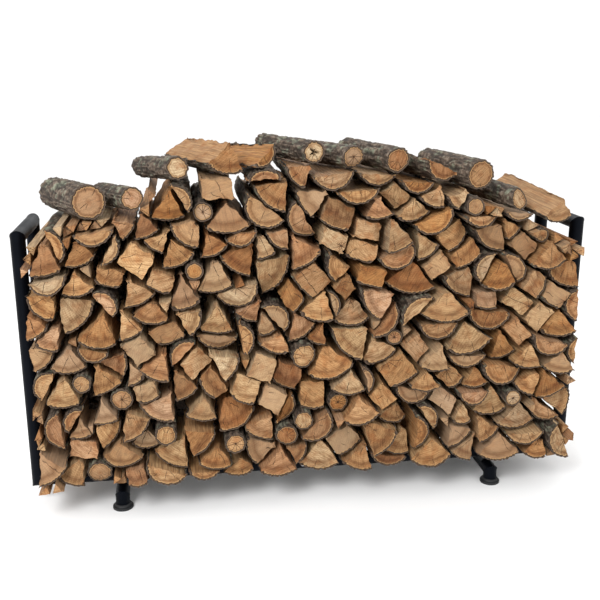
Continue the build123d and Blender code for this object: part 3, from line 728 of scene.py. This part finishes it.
def roughening_tree():
    tree, given = new_tree("roughen_logs", {name: "Float" for name in GRAIN_SIZES})
    read = {}
    for name in POINT_VECTORS + ("bark", "corner"):
        kind = "FLOAT_VECTOR" if name in POINT_VECTORS else "FLOAT"
        read[name] = add(tree, "GeometryNodeInputNamedAttribute", {"Name": name}, data_type=kind)

    # One noise for each kind of roughness, in cells of its own size and apart for every log
    spread = {0: read["draws"], 1: (DRAW_SPREAD,) * 3}
    apart = add(tree, "ShaderNodeVectorMath", spread, operation="MULTIPLY")
    noise = {}
    for kind, detail in NOISE_DETAIL.items():
        width = given[f"{kind} Width"]
        length = given[f"{kind} Length"] if f"{kind} Length" in GRAIN_SIZES else width
        cell = add(tree, "ShaderNodeCombineXYZ", {0: width, 1: width, 2: length})
        base = read["grain"] if kind == "Saw" else read["edge"]
        place = add(tree, "ShaderNodeVectorMath", {0: base, 1: cell}, operation="DIVIDE")
        place = add(tree, "ShaderNodeVectorMath", {0: place, 1: apart}, operation="ADD")
        noise[kind] = add(tree, "ShaderNodeTexNoise", {"Vector": place, "Scale": 1.0, "Detail": detail})
    amount = {"Fibre": noise["Fibre"], "Saw": noise["Saw"]}
    for kind, (low, high) in NOISE_SPAN.items():
        span = {"Value": noise[kind], "From Min": low, "From Max": high}
        amount[kind] = add(tree, "ShaderNodeMapRange", span)
    at_corner = {0: amount["Chip"], 1: read["corner"]}
    amount["Chip"] = add(tree, "ShaderNodeMath", at_corner, operation="MULTIPLY")

    # A furrow opens where its noise crosses the middle
    swing = add(tree, "ShaderNodeMath", {0: noise["Furrow"], 1: 0.5}, operation="SUBTRACT")
    swing = add(tree, "ShaderNodeMath", {0: swing}, operation="ABSOLUTE")
    amount["Furrow"] = add(
        tree,
        "ShaderNodeMapRange",
        {"Value": swing, "From Min": 0.0, "From Max": FURROW_SWING, "To Min": 1.0, "To Max": 0.0},
        interpolation_type="SMOOTHSTEP",
    )

    # Depths in metres: bark or torn wood on the sides, chips at the corners, the saw's on the ends
    depth = {}
    for kind in ("Furrow", "Fibre", "Saw"):
        scaled = {0: amount[kind], 1: given[f"{kind} Depth"]}
        depth[kind] = add(tree, "ShaderNodeMath", scaled, operation="MULTIPLY")
    waves = {0: amount["Warp"], 1: given["Warp Depth"], 2: depth["Fibre"]}
    wood_depth = add(tree, "ShaderNodeMath", waves, operation="MULTIPLY_ADD")
    sides = add(tree, "ShaderNodeMix", {"Factor": read["bark"], "A": wood_depth, "B": depth["Furrow"]})
    chips = {0: amount["Chip"], 1: given["Chip Depth"], 2: sides}
    side_depth = add(tree, "ShaderNodeMath", chips, operation="MULTIPLY_ADD")
    shifts = []
    for way, deep in ((read["outward"], side_depth), (read["facing"], depth["Saw"])):
        inward = add(tree, "ShaderNodeMath", {0: deep, 1: -1.0}, operation="MULTIPLY")
        shifts.append(add(tree, "ShaderNodeVectorMath", {0: way, "Scale": inward}, operation="SCALE"))
    offset = add(tree, "ShaderNodeVectorMath", {0: shifts[0], 1: shifts[1]}, operation="ADD")

    kept = add(
        tree,
        "GeometryNodeStoreNamedAttribute",
        {"Geometry": given["Geometry"], "Name": "furrow", "Value": amount["Furrow"]},
        data_type="FLOAT",
        domain="POINT",
    )
    moved = add(tree, "GeometryNodeSetPosition", {"Geometry": kept, "Offset": offset})
    return end_tree(tree, given, moved)


roughen_logs = roughening_tree()
print("tree:", roughen_logs.name, "with", len(roughen_logs.nodes), "nodes")

# %% [markdown]
# ## Seasoned hardwood: what a log tells its finish
#
# One material covers a whole log, because a log is one piece of wood seen three ways: sawn across, torn
# along, and in its bark. All three look everything up from the place relative to the pith, so the pattern
# runs through the wood as in a real log. The first random draw of each log picks its colour from the tans
# and oranges of the photograph, the second how weathered it is, and the third how dark it has dried and
# which way the saw ran.

# %% Log reading
BLOTCH_SIZE = 42 * MILLIMETRE
PORE_SIZE = 3 * MILLIMETRE
END_TONES = [
    (0.0, "#D4BC97"),
    (0.14, "#C6A37B"),
    (0.28, "#C09663"),
    (0.42, "#D8C9AC"),
    (0.56, "#C3A079"),
    (0.7, "#CFB29A"),
    (0.84, "#B1865D"),
    (1.0, "#C3B39A"),
]


def log_reading(tree):
    """A log's stored values, and what is worked out from them, by name."""
    read = {}
    for name in ("grain", "draws"):
        read[name] = add(tree, "ShaderNodeAttribute", attribute_name=name).outputs["Vector"]
    for name in ("end", "bark", "rim", "girth", "furrow", "hollow_depth_and_shade"):
        read[name] = add(tree, "ShaderNodeAttribute", attribute_name=name).outputs["Fac"]
    draw = add(tree, "ShaderNodeSeparateXYZ", {0: read["draws"]}).outputs
    read["dried"] = draw["Z"]
    place = add(tree, "ShaderNodeVectorMath", {0: read["grain"], 1: read["draws"]}, operation="ADD")
    read["place"] = place
    part = add(tree, "ShaderNodeSeparateXYZ", {0: read["grain"]}).outputs
    read["bearing"] = add(tree, "ShaderNodeMath", {0: part["Y"], 1: part["X"]}, operation="ARCTAN2")
    across = add(tree, "ShaderNodeVectorMath", {0: read["grain"], 1: (1.0, 1.0, 0.0)}, operation="MULTIPLY")
    read["radius"] = add(tree, "ShaderNodeVectorMath", {0: across}, operation="LENGTH").outputs["Value"]
    for name, size, detail in (("blotch", BLOTCH_SIZE, 4.0), ("pores", PORE_SIZE, 2.0)):
        look = {"Vector": place, "Scale": 1 / size, "Detail": detail}
        read[name] = add(tree, "ShaderNodeTexNoise", look)

    # Colour of this log's wood, warmer in blotches, and how grey it has gone
    tone = add(tree, "ShaderNodeValToRGB", {"Fac": draw["X"]})
    set_stops(tone, END_TONES)
    blotches = {"Value": read["blotch"], "From Min": 0.48, "From Max": 0.72, "To Max": 0.6}
    warmth = add(tree, "ShaderNodeMapRange", blotches)
    warm = {"Fac": warmth, "Color1": tone, "Color2": linear("#AF7440")}
    read["wood"] = add(tree, "ShaderNodeMixRGB", warm)
    weathered = {"Value": draw["Y"], "From Min": 0.6, "From Max": 1.0, "To Max": 0.55}
    read["grey"] = add(tree, "ShaderNodeMapRange", weathered)
    return read


print("tones of wood to pick from:", len(END_TONES))

# %% [markdown]
# ## The sawn end
#
# A sawn end shows growth rings about the pith, pores, stains and the marks of the saw. Drying checks run
# out from the heart, painted dark as the shade in the cracks. The heart is darker, and a brown band shows
# where the outer wood has weathered. The rim is the bark's own edge, with a near-black line inside it and
# then a pale one. The hollow of a rotten round is painted near-black as shade, darkest where it is deepest.
# Real rings are 2 to 4 mm apart, too fine to show from here, so they are drawn at two to three times that.

# %% Sawn end
RING_SPACING = 9 * MILLIMETRE
RING_DRIFT = 8 * MILLIMETRE
STAIN_SIZE = 26 * MILLIMETRE
SAW_MARK_WIDTH = 5 * MILLIMETRE
SAW_MARK_LENGTH = 70 * MILLIMETRE
ZONE_DRIFT = 0.25
CHECKS_PER_TURN = 9
CHECK_HALF_WIDTH = 1.3 * MILLIMETRE
CHECK_REACH = 60 * MILLIMETRE
CHECK_DRIFT = 0.35
CHECK_SPREAD = 97.0
BARK_THICKNESS = 8 * MILLIMETRE
RIM_DRIFT = 4 * MILLIMETRE
MARK_TONES = [(0.34, "#A88E74"), (0.56, "#FFFFFF")]
DRIED_TONES = [(0.0, "#FFF8EE"), (0.35, "#D9CCBC"), (0.5, "#FFFFFF"), (0.8, "#C2AF99"), (1.0, "#F2E6D6")]
ZONE_TONES = [(0.1, "#C8A788"), (0.4, "#F0E7DA"), (0.74, "#EDE2D2"), (0.88, "#A98F73"), (1.0, "#DDCEB8")]
RIM_TONES = [(0.0, "#54463A"), (0.35, "#3F3026"), (0.7, "#20150E"), (0.78, "#98774F"), (1.0, "#B08E64")]


def drying_checks_and_shade(tree, read):
    """One in the drying checks that run out from the pith, painted dark as shade in the cracks, nothing
    elsewhere.
    """
    per_radian = CHECKS_PER_TURN / (2 * math.pi)
    turns = add(tree, "ShaderNodeMath", {0: read["bearing"], 1: per_radian}, operation="MULTIPLY")
    for pattern, shift in ((read["blotch"], CHECK_DRIFT), (read["dried"], CHECK_SPREAD)):
        turns = add(tree, "ShaderNodeMath", {0: pattern, 1: shift, 2: turns}, operation="MULTIPLY_ADD")
    cells = add(
        tree,
        "ShaderNodeTexVoronoi",
        {"W": turns, "Scale": 1.0},
        voronoi_dimensions="1D",
        feature="DISTANCE_TO_EDGE",
    )
    off_line = {0: cells.outputs["Distance"], 1: read["radius"]}
    gap = add(tree, "ShaderNodeMath", off_line, operation="MULTIPLY")
    edge = CHECK_HALF_WIDTH * per_radian
    line = add(
        tree,
        "ShaderNodeMapRange",
        {"Value": gap, "From Min": 0.3 * edge, "From Max": edge, "To Min": 1.0, "To Max": 0.0},
    )
    reach = {"Vector": read["place"], "Scale": 1 / CHECK_REACH, "Detail": 0.0}
    opened = add(tree, "ShaderNodeTexNoise", reach)
    opened = add(tree, "ShaderNodeMapRange", {"Value": opened, "From Min": 0.5, "From Max": 0.56})
    return add(tree, "ShaderNodeMath", {0: line, 1: opened}, operation="MULTIPLY")


def saw_marks(tree, read):
    """Noise drawn out straight across the end, in a direction of the log's own."""
    turn = add(tree, "ShaderNodeMath", {0: read["dried"], 1: 2 * math.pi}, operation="MULTIPLY")
    turned = {"Vector": read["place"], "Angle": turn}
    marks = add(tree, "ShaderNodeVectorRotate", turned, rotation_type="Z_AXIS")
    cell = (1 / SAW_MARK_LENGTH, 1 / SAW_MARK_WIDTH, 1 / SAW_MARK_LENGTH)
    marks = add(tree, "ShaderNodeVectorMath", {0: marks, 1: cell}, operation="MULTIPLY")
    look = {"Vector": marks, "Scale": 1.0, "Detail": 3.0, "Roughness": 0.6}
    return add(tree, "ShaderNodeTexNoise", look)


def sawn_end(tree, read):
    """Colour and height of a log's sawn end."""
    blotch, pores = read["blotch"], read["pores"]
    drift = {0: blotch, 1: RING_DRIFT, 2: read["radius"]}
    rings = add(tree, "ShaderNodeMath", drift, operation="MULTIPLY_ADD")
    rings = add(tree, "ShaderNodeMath", {0: rings, 1: RING_SPACING}, operation="DIVIDE")
    rings = add(tree, "ShaderNodeMath", {0: rings}, operation="FRACT")
    blots = {"Vector": read["place"], "Scale": 1 / STAIN_SIZE, "Detail": 6.0, "Roughness": 0.7}
    stains = add(tree, "ShaderNodeTexNoise", blots)
    colour = read["wood"]
    for pattern, low, high, most, tone in (
        (rings, 0.55, 1.0, 0.42, "#8E6440"),
        (pores, 0.5, 0.75, 0.4, "#7E583A"),
        (stains, 0.47, 0.66, 0.55, "#80603F"),
    ):
        span = {"Value": pattern, "From Min": low, "From Max": high, "To Max": most}
        cover = add(tree, "ShaderNodeMapRange", span)
        stained = {"Fac": cover, "Color1": colour, "Color2": linear(tone)}
        colour = add(tree, "ShaderNodeMixRGB", stained)

    # Marks of the saw, how dark this log has dried, how grey it has gone, and its heart and outer band
    marks = saw_marks(tree, read)
    share = add(tree, "ShaderNodeMath", {0: read["radius"], 1: read["girth"]}, operation="DIVIDE")
    ragged = add(tree, "ShaderNodeMath", {0: blotch, 1: ZONE_DRIFT, 2: share}, operation="MULTIPLY_ADD")
    edge = add(tree, "ShaderNodeMath", {0: pores, 1: -RIM_DRIFT, 2: read["rim"]}, operation="MULTIPLY_ADD")
    edge = add(tree, "ShaderNodeMath", {0: edge, 1: BARK_THICKNESS}, operation="DIVIDE")
    tints = []
    for pattern, stops in (
        (marks, MARK_TONES),
        (read["dried"], DRIED_TONES),
        (ragged, ZONE_TONES),
        (edge, RIM_TONES),
    ):
        tints.append(add(tree, "ShaderNodeValToRGB", {"Fac": pattern}))
        set_stops(tints[-1], stops)
    mark_tint, dried_tint, zone_tint, rim_tint = tints
    check_and_shade = drying_checks_and_shade(tree, read)
    near_rim = add(
        tree,
        "ShaderNodeMapRange",
        {"Value": edge, "From Min": 0.8, "From Max": 1.25, "To Min": 1.0, "To Max": 0.0},
    )
    for cover, tint, blend in (
        (0.6, mark_tint, "MULTIPLY"),
        (1.0, dried_tint, "MULTIPLY"),
        (read["grey"], linear("#A5937C"), "MIX"),
        (0.85, zone_tint, "MULTIPLY"),
        # Painted shade: the checks are darkened as the shade inside the cracks
        (check_and_shade, linear("#2B190D"), "MIX"),
        (near_rim, rim_tint, "MIX"),
        # Painted shade: the hollow goes near-black, darkest where it is deepest
        (read["hollow_depth_and_shade"], linear("#120B07"), "MIX"),
    ):
        layer = {"Fac": cover, "Color1": colour, "Color2": tint}
        colour = add(tree, "ShaderNodeMixRGB", layer, blend_type=blend)
    height = add(tree, "ShaderNodeMath", {0: marks, 1: pores}, operation="ADD")
    height = add(tree, "ShaderNodeMath", {0: height, 1: check_and_shade}, operation="SUBTRACT")
    return colour, height


print("growth rings are drawn every", round(RING_SPACING / MILLIMETRE), "mm")

# %% [markdown]
# ## Split faces and bark
#
# On a split face the same wood is torn along its fibres, so the colour is streaked with the grain, and the
# streaks also darken it overall as painted shade. Bark is grey-brown plates with patches of grey-green
# lichen, and painted near-black shade in the furrows where the roughening tree put them. The three are then
# mixed by what each point says it is.

# %% Firewood material
STREAK_WIDTH = 5 * MILLIMETRE
STREAK_LENGTH = 120 * MILLIMETRE
PLATE_SIZE = 14 * MILLIMETRE
LICHEN_SIZE = 55 * MILLIMETRE
WOOD_RELIEF = 3 * MILLIMETRE
STREAK_AND_SHADE_TONES = [(0.28, "#5C4838"), (0.5, "#AC967E"), (0.7, "#EADFCC")]
PLATE_TONES = [(0.3, "#3E3229"), (0.5, "#5F5145"), (0.72, "#85786A")]


def torn_face(tree, read):
    """Colour and height of a split face."""
    cell = (1 / STREAK_WIDTH, 1 / STREAK_WIDTH, 1 / STREAK_LENGTH)
    fibres = add(tree, "ShaderNodeVectorMath", {0: read["place"], 1: cell}, operation="MULTIPLY")
    look = {"Vector": fibres, "Scale": 1.0, "Detail": 5.0, "Roughness": 0.65}
    fibres = add(tree, "ShaderNodeTexNoise", look)
    streaks = add(tree, "ShaderNodeValToRGB", {"Fac": fibres})
    set_stops(streaks, STREAK_AND_SHADE_TONES)
    # The streaks are grain, and they also darken the split face overall as painted shade
    streaked = {"Fac": 0.85, "Color1": read["wood"], "Color2": streaks}
    torn = add(tree, "ShaderNodeMixRGB", streaked, blend_type="MULTIPLY")
    greyed = {"Fac": read["grey"], "Color1": torn, "Color2": linear("#9A8871")}
    return add(tree, "ShaderNodeMixRGB", greyed), fibres


def bark_plates(tree, read):
    """Colour and height of the bark."""
    look = {"Vector": read["place"], "Scale": 1 / PLATE_SIZE, "Detail": 5.0}
    plates = add(tree, "ShaderNodeTexNoise", look)
    husk = add(tree, "ShaderNodeValToRGB", {"Fac": plates})
    set_stops(husk, PLATE_TONES)
    patches = {"Vector": read["place"], "Scale": 1 / LICHEN_SIZE, "Detail": 6.0, "Roughness": 0.7}
    lichen = add(tree, "ShaderNodeTexNoise", patches)
    spots = {"Value": lichen, "From Min": 0.53, "From Max": 0.6, "To Max": 0.7}
    lichen = add(tree, "ShaderNodeMapRange", spots)
    # Painted shade: the bark goes near-black in its furrows, as far as they are deep
    deep = add(tree, "ShaderNodeMath", {0: read["furrow"], 1: 0.85}, operation="MULTIPLY")
    for cover, tone in ((lichen, "#868C78"), (deep, "#1C1511")):
        layer = {"Fac": cover, "Color1": husk, "Color2": linear(tone)}
        husk = add(tree, "ShaderNodeMixRGB", layer)
    return husk, plates


def seasoned_hardwood():
    material, tree = new_material("seasoned_split_hardwood")
    read = log_reading(tree)
    is_bark = add(tree, "ShaderNodeMapRange", {"Value": read["bark"], "From Min": 0.35, "From Max": 0.65})
    mixed = []
    for torn, husk, sawn in zip(torn_face(tree, read), bark_plates(tree, read), sawn_end(tree, read)):
        side = add(tree, "ShaderNodeMixRGB", {"Fac": is_bark, "Color1": torn, "Color2": husk})
        whole = {"Fac": read["end"], "Color1": side, "Color2": sawn}
        mixed.append(add(tree, "ShaderNodeMixRGB", whole))
    colour, height = mixed
    bump = add(tree, "ShaderNodeBump", {"Height": height, "Strength": 0.8, "Distance": WOOD_RELIEF})
    shader = add(
        tree,
        "ShaderNodeBsdfPrincipled",
        {"Base Color": colour, "Roughness": 0.82, "Specular IOR Level": 0.25, "Normal": bump},
    )
    add(tree, "ShaderNodeOutputMaterial", {"Surface": shader})
    return material


split_hardwood = seasoned_hardwood()
print("material:", split_hardwood.name, "with", len(split_hardwood.node_tree.nodes), "nodes")

# %% [markdown]
# ## Build the load
#
# Each firewood node becomes one piece: its logs are rebuilt, joined, roughened by the tree and turned into
# a plain mesh. Edges sharper than a set angle stay crisp, so the saw cut meets the bark in a clean line.
# The piece then stands for the CAD node and moves with its body. The logs on top and the two upper courses
# show their sides, so they get even stations, and the round on top nearest the middle has the hollow.

# %% Firewood pieces
LOAD_SEED = 5
STATIONS_IN_VIEW = {"top_logs": 60, "firewood_course_13": 30, "firewood_course_12": 30}
HOLLOW_X = 0.0
SHARP = math.radians(38)


def joined(name, parts):
    """One mesh of several logs, with their attributes."""
    faces = []
    start = 0
    for part in parts:
        faces += [[start + corner for corner in face] for face in part["faces"]]
        start += len(part["points"])
    mesh = bpy.data.meshes.new(name)
    mesh.from_pydata(np.concatenate([part["points"] for part in parts]).tolist(), [], faces)
    for attributes, kind, domain, field in (
        (POINT_VECTORS, "FLOAT_VECTOR", "POINT", "vector"),
        (POINT_VALUES, "FLOAT", "POINT", "value"),
        (FACE_VALUES, "FLOAT", "FACE", "value"),
    ):
        for attribute in attributes:
            values = np.concatenate([part[attribute] for part in parts]).astype(np.float32)
            mesh.attributes.new(attribute, kind, domain).data.foreach_set(field, values.ravel())
    return mesh


rounds_on_top = [log for log in logs_of_node["top_logs"] if log.on_arc.all()]
hollow_log = min(rounds_on_top, key=lambda log: abs(log.front[0] - HOLLOW_X), default=None)
grain_values = {name: size * MILLIMETRE for name, size in GRAIN_SIZES.items()}
grain_values["Material"] = split_hardwood
triangles = 0
for number, name in enumerate(FIREWOOD_NODES):
    dice = random.Random(LOAD_SEED + number)
    even_count = STATIONS_IN_VIEW.get(name, 0)
    parts = [log_mesh(log, dice, even_count, log is hollow_log) for log in logs_of_node[name]]
    base = new_object(f"{name}_plain", joined(f"{name}_plain", parts))
    mesh = made_by_nodes(base, roughen_logs, grain_values)
    bpy.data.objects.remove(base)
    mesh.shade_smooth()
    mesh.set_sharp_from_angle(angle=SHARP)
    piece = new_object(f"split_{name}", mesh)
    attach(piece, nodes[name]["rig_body"])
    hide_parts(name)
    triangles += sum(len(face.vertices) - 2 for face in mesh.polygons)
print("firewood:", triangles, "triangles, hollow round:", hollow_log is not None)

# %% [markdown]
# ## Find the gaps between the logs
#
# Deep in a stack the slits between the logs lie in full shade, so dark fillers shaped as scraps of bark are
# put in the gaps as painted shade, and no daylight shows through. The stacked logs all run straight from
# front to rear, so the gaps can be found in one flat section: points of a grid that lie in no outline, well
# under the top of the stack and between its outermost logs, so that no filler sits at the stack's edge. The
# widest places are taken first.

# %% Gaps in the stack
GAP_GRID = 3 * MILLIMETRE
LEAST_GAP = 0.7 * MILLIMETRE
LOG_REACH = 220 * MILLIMETRE
EDGE_REACH = 45 * MILLIMETRE
UNDER_SKYLINE = 20 * MILLIMETRE
SCRAP_SPACING = 0.5
SCRAP_SPARE = 4 * MILLIMETRE


def neighbours(row):
    """Each value of a row together with those near it on both sides."""
    reach = round(EDGE_REACH / GAP_GRID)
    return np.lib.stride_tricks.sliding_window_view(np.pad(row, reach, mode="edge"), 2 * reach + 1)


def stack_section():
    """Outlines of the stacked logs, as x and z."""
    outlines = []
    for name in FIREWOOD_NODES[:-1]:
        for log in logs_of_node[name]:
            places = log.hub + log.outline
            outlines.append(np.stack((places[:, 0] * log.sideways[0], places[:, 1]), axis=1))
    return outlines


def distance_outside(places, outline):
    """How far each place is outside an outline, and nothing for a place inside it."""
    distance = np.full(len(places), np.inf)
    inside = np.zeros(len(places), bool)
    for start, end in zip(outline, np.roll(outline, -1, axis=0)):
        run = end - start
        share = np.clip(((places - start) @ run) / (run @ run), 0, 1)
        distance = np.minimum(distance, np.hypot(*(places - start - share[:, None] * run).T))
        crosses = (start[1] > places[:, 1]) != (end[1] > places[:, 1])
        level = np.where(run[1] == 0, 1.0, run[1])
        inside ^= crosses & (places[:, 0] < start[0] + (places[:, 1] - start[1]) / level * run[0])
    return np.where(inside, 0.0, distance)


def gap_points():
    """Middles of the gaps in the stack's section, as x, z and the size of scrap that fills the gap."""
    outlines = stack_section()
    corners = np.concatenate(outlines)
    across = np.arange(corners[:, 0].min(), corners[:, 0].max(), GAP_GRID)
    up = np.arange(corners[:, 1].min(), corners[:, 1].max(), GAP_GRID)
    grid = np.stack(np.meshgrid(across, up, indexing="ij"), axis=-1).reshape(-1, 2)
    distance = np.full(len(grid), np.inf)
    skyline = np.full(len(across), corners[:, 1].min())
    left_end = np.full(len(up), corners[:, 0].max())
    right_end = np.full(len(up), corners[:, 0].min())
    for outline in outlines:
        middle = outline.mean(axis=0)
        near = np.where((np.abs(grid - middle) < LOG_REACH).all(axis=1))[0]
        distance[near] = np.minimum(distance[near], distance_outside(grid[near], outline))
        over = np.abs(across - middle[0]) < np.ptp(outline[:, 0]) / 2
        skyline[over] = np.maximum(skyline[over], middle[1])
        beside = np.abs(up - middle[1]) < np.ptp(outline[:, 1]) / 2
        left_end[beside] = np.minimum(left_end[beside], middle[0])
        right_end[beside] = np.maximum(right_end[beside], middle[0])
    under = grid[:, 1] < np.repeat(neighbours(skyline).min(axis=1), len(up)) - UNDER_SKYLINE
    between = grid[:, 0] > np.tile(neighbours(left_end).max(axis=1), len(across))
    between &= grid[:, 0] < np.tile(neighbours(right_end).min(axis=1), len(across))
    free = np.where(under & between & (distance > LEAST_GAP) & np.isfinite(distance))[0]
    chosen = np.empty((0, 3))
    for number in free[np.argsort(-distance[free], kind="stable")]:
        place = np.append(grid[number], distance[number] + SCRAP_SPARE)
        apart = np.hypot(*(chosen[:, :2] - place[:2]).T)
        if not (apart < SCRAP_SPACING * (chosen[:, 2] + place[2])).any():
            chosen = np.vstack((chosen, place))
    return chosen


gaps = gap_points()
print("gaps:", len(gaps), "the widest takes a scrap of", round(gaps[:, 2].max() / MILLIMETRE), "mm")

# %% [markdown]
# ## Painted shade between the logs: dark fillers shaped as bark
#
# A Geometry Nodes tree puts a dark five-sided filler, shaped as a scrap of bark, in each gap as painted
# shade, turned and sized at random. Two layers of them lie one behind the other, because a single one
# leaves slits.

# %% Painted shade fillers
SCRAP_DEPTHS = ((-0.14, 0.0), (0.0, 0.14))
SCRAP_SIDES = 5
SCRAP_THICKNESS = 0.35
SCRAP_STRETCH = ((0.85, 0.85, 0.6), (1.25, 1.25, 1.6))
SCRAP_TURN = ((1.2, -0.4, 0.0), (1.9, 0.4, 6.28))
SCRAP_SEED = 11


def gap_shade_filler_tree():
    tree, given = new_tree("gap_shade_fillers", {"Seed": "Int"})
    flake = {"Vertices": SCRAP_SIDES, "Radius": 1.0, "Depth": SCRAP_THICKNESS}
    scrap = add(tree, "GeometryNodeMeshCylinder", flake)
    size = add(tree, "GeometryNodeInputNamedAttribute", {"Name": "gap"}, data_type="FLOAT")
    drawn = []
    for least, most in (SCRAP_STRETCH, SCRAP_TURN):
        limits = {"Min": least, "Max": most, "Seed": given["Seed"]}
        drawn.append(add(tree, "FunctionNodeRandomValue", limits, data_type="FLOAT_VECTOR"))
    stretch, turn = drawn
    scale = add(tree, "ShaderNodeVectorMath", {0: stretch, "Scale": size}, operation="SCALE")
    placed = add(
        tree,
        "GeometryNodeInstanceOnPoints",
        {"Points": given["Geometry"], "Instance": scrap, "Rotation": turn, "Scale": scale},
    )
    return end_tree(tree, given, placed)


dice = random.Random(SCRAP_SEED)
scrap_places = [(x, dice.uniform(*layer), z) for layer in SCRAP_DEPTHS for x, z, _ in gaps.tolist()]
scrap_mesh = bpy.data.meshes.new("scrap_places")
scrap_mesh.from_pydata(scrap_places, [], [])
reach = np.tile(gaps[:, 2], len(SCRAP_DEPTHS)).astype(np.float32)
scrap_mesh.attributes.new("gap", "FLOAT", "POINT").data.foreach_set("value", reach)
scrap_base = new_object("scrap_places", scrap_mesh)
# Painted shade: the fillers are near-black to stand for the shade deep in the gaps
gap_filler_shade = mottled(
    "gap_filler_shade", "#1C1612", "#4A3D33", mottle=12 * MILLIMETRE, roughness=0.92, bump_strength=0.3
)
scraps = made_by_nodes(scrap_base, gap_shade_filler_tree(), {"Seed": SCRAP_SEED, "Material": gap_filler_shade})
bpy.data.objects.remove(scrap_base)
scrap_piece = new_object("gap_shade_fillers", scraps)
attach(scrap_piece, "firewood_stack")
print("bark scraps:", len(scrap_places), "of", len(scraps.polygons) // len(scrap_places), "faces each")

# %% [markdown]
# ## Studio
#
# The photograph is cut out on white with soft light all round, a little stronger from the front left. A
# pale floor runs out to a white world, and three large area lights give the light its direction. The camera
# stands where the rack's corners in the photograph put it: left of the middle, at head height, looking
# slightly down.

# %% Floor, light and camera
FLOOR_SIZE = 60.0
FLOOR_MOTTLE = 0.5
WORLD_STRENGTH = 1.12
CAMERA_PLACE = Vector((-0.541, -3.597, 1.852))
CAMERA_YAW = math.radians(8.2)
CAMERA_PITCH = math.radians(15.5)
CAMERA_LENS = 50.6
LIGHTS = {
    "key_light": ((-2.6, -4.2, 4.2), 2.0, 255),
    "fill_light": ((3.6, -3.4, 2.6), 3.0, 35),
    "back_light": ((0.5, 3.6, 4.0), 3.0, 60),
}
LIT_POINT = Vector((0, 0, 0.75))

half = FLOOR_SIZE / 2
floor_corners = [(-half, -half, 0), (half, -half, 0), (half, half, 0), (-half, half, 0)]
floor_mesh = bpy.data.meshes.new("floor")
floor_mesh.from_pydata(floor_corners, [], [(0, 1, 2, 3)])
floor = new_object("floor", floor_mesh)
floor_paint = mottled(
    "matt_white_floor", "#F4F4F4", "#F7F7F7", mottle=FLOOR_MOTTLE, roughness=0.9, bump_strength=0.0
)
floor_mesh.materials.append(floor_paint)

for name, (place, size, power) in LIGHTS.items():
    light = bpy.data.lights.new(name, "AREA")
    light.size = size
    light.energy = power
    lamp = new_object(name, light)
    lamp.location = place
    lamp.rotation_euler = (LIT_POINT - Vector(place)).to_track_quat("-Z", "Y").to_euler()

world = bpy.data.worlds.new("white_studio")
world.use_nodes = True
background = world.node_tree.nodes["Background"]
background.inputs["Color"].default_value = linear("#FFFFFF")
background.inputs["Strength"].default_value = WORLD_STRENGTH
bpy.context.scene.world = world
bpy.context.scene.view_settings.view_transform = "Standard"

camera_data = bpy.data.cameras.new("photo_camera")
camera_data.lens = CAMERA_LENS
camera = new_object("photo_camera", camera_data)
camera.location = CAMERA_PLACE
level = math.cos(CAMERA_PITCH)
sight = Vector((math.sin(CAMERA_YAW) * level, math.cos(CAMERA_YAW) * level, -math.sin(CAMERA_PITCH)))
camera.rotation_euler = sight.to_track_quat("-Z", "Y").to_euler()
bpy.context.scene.camera = camera
print("camera at", tuple(CAMERA_PLACE), "lens", CAMERA_LENS)
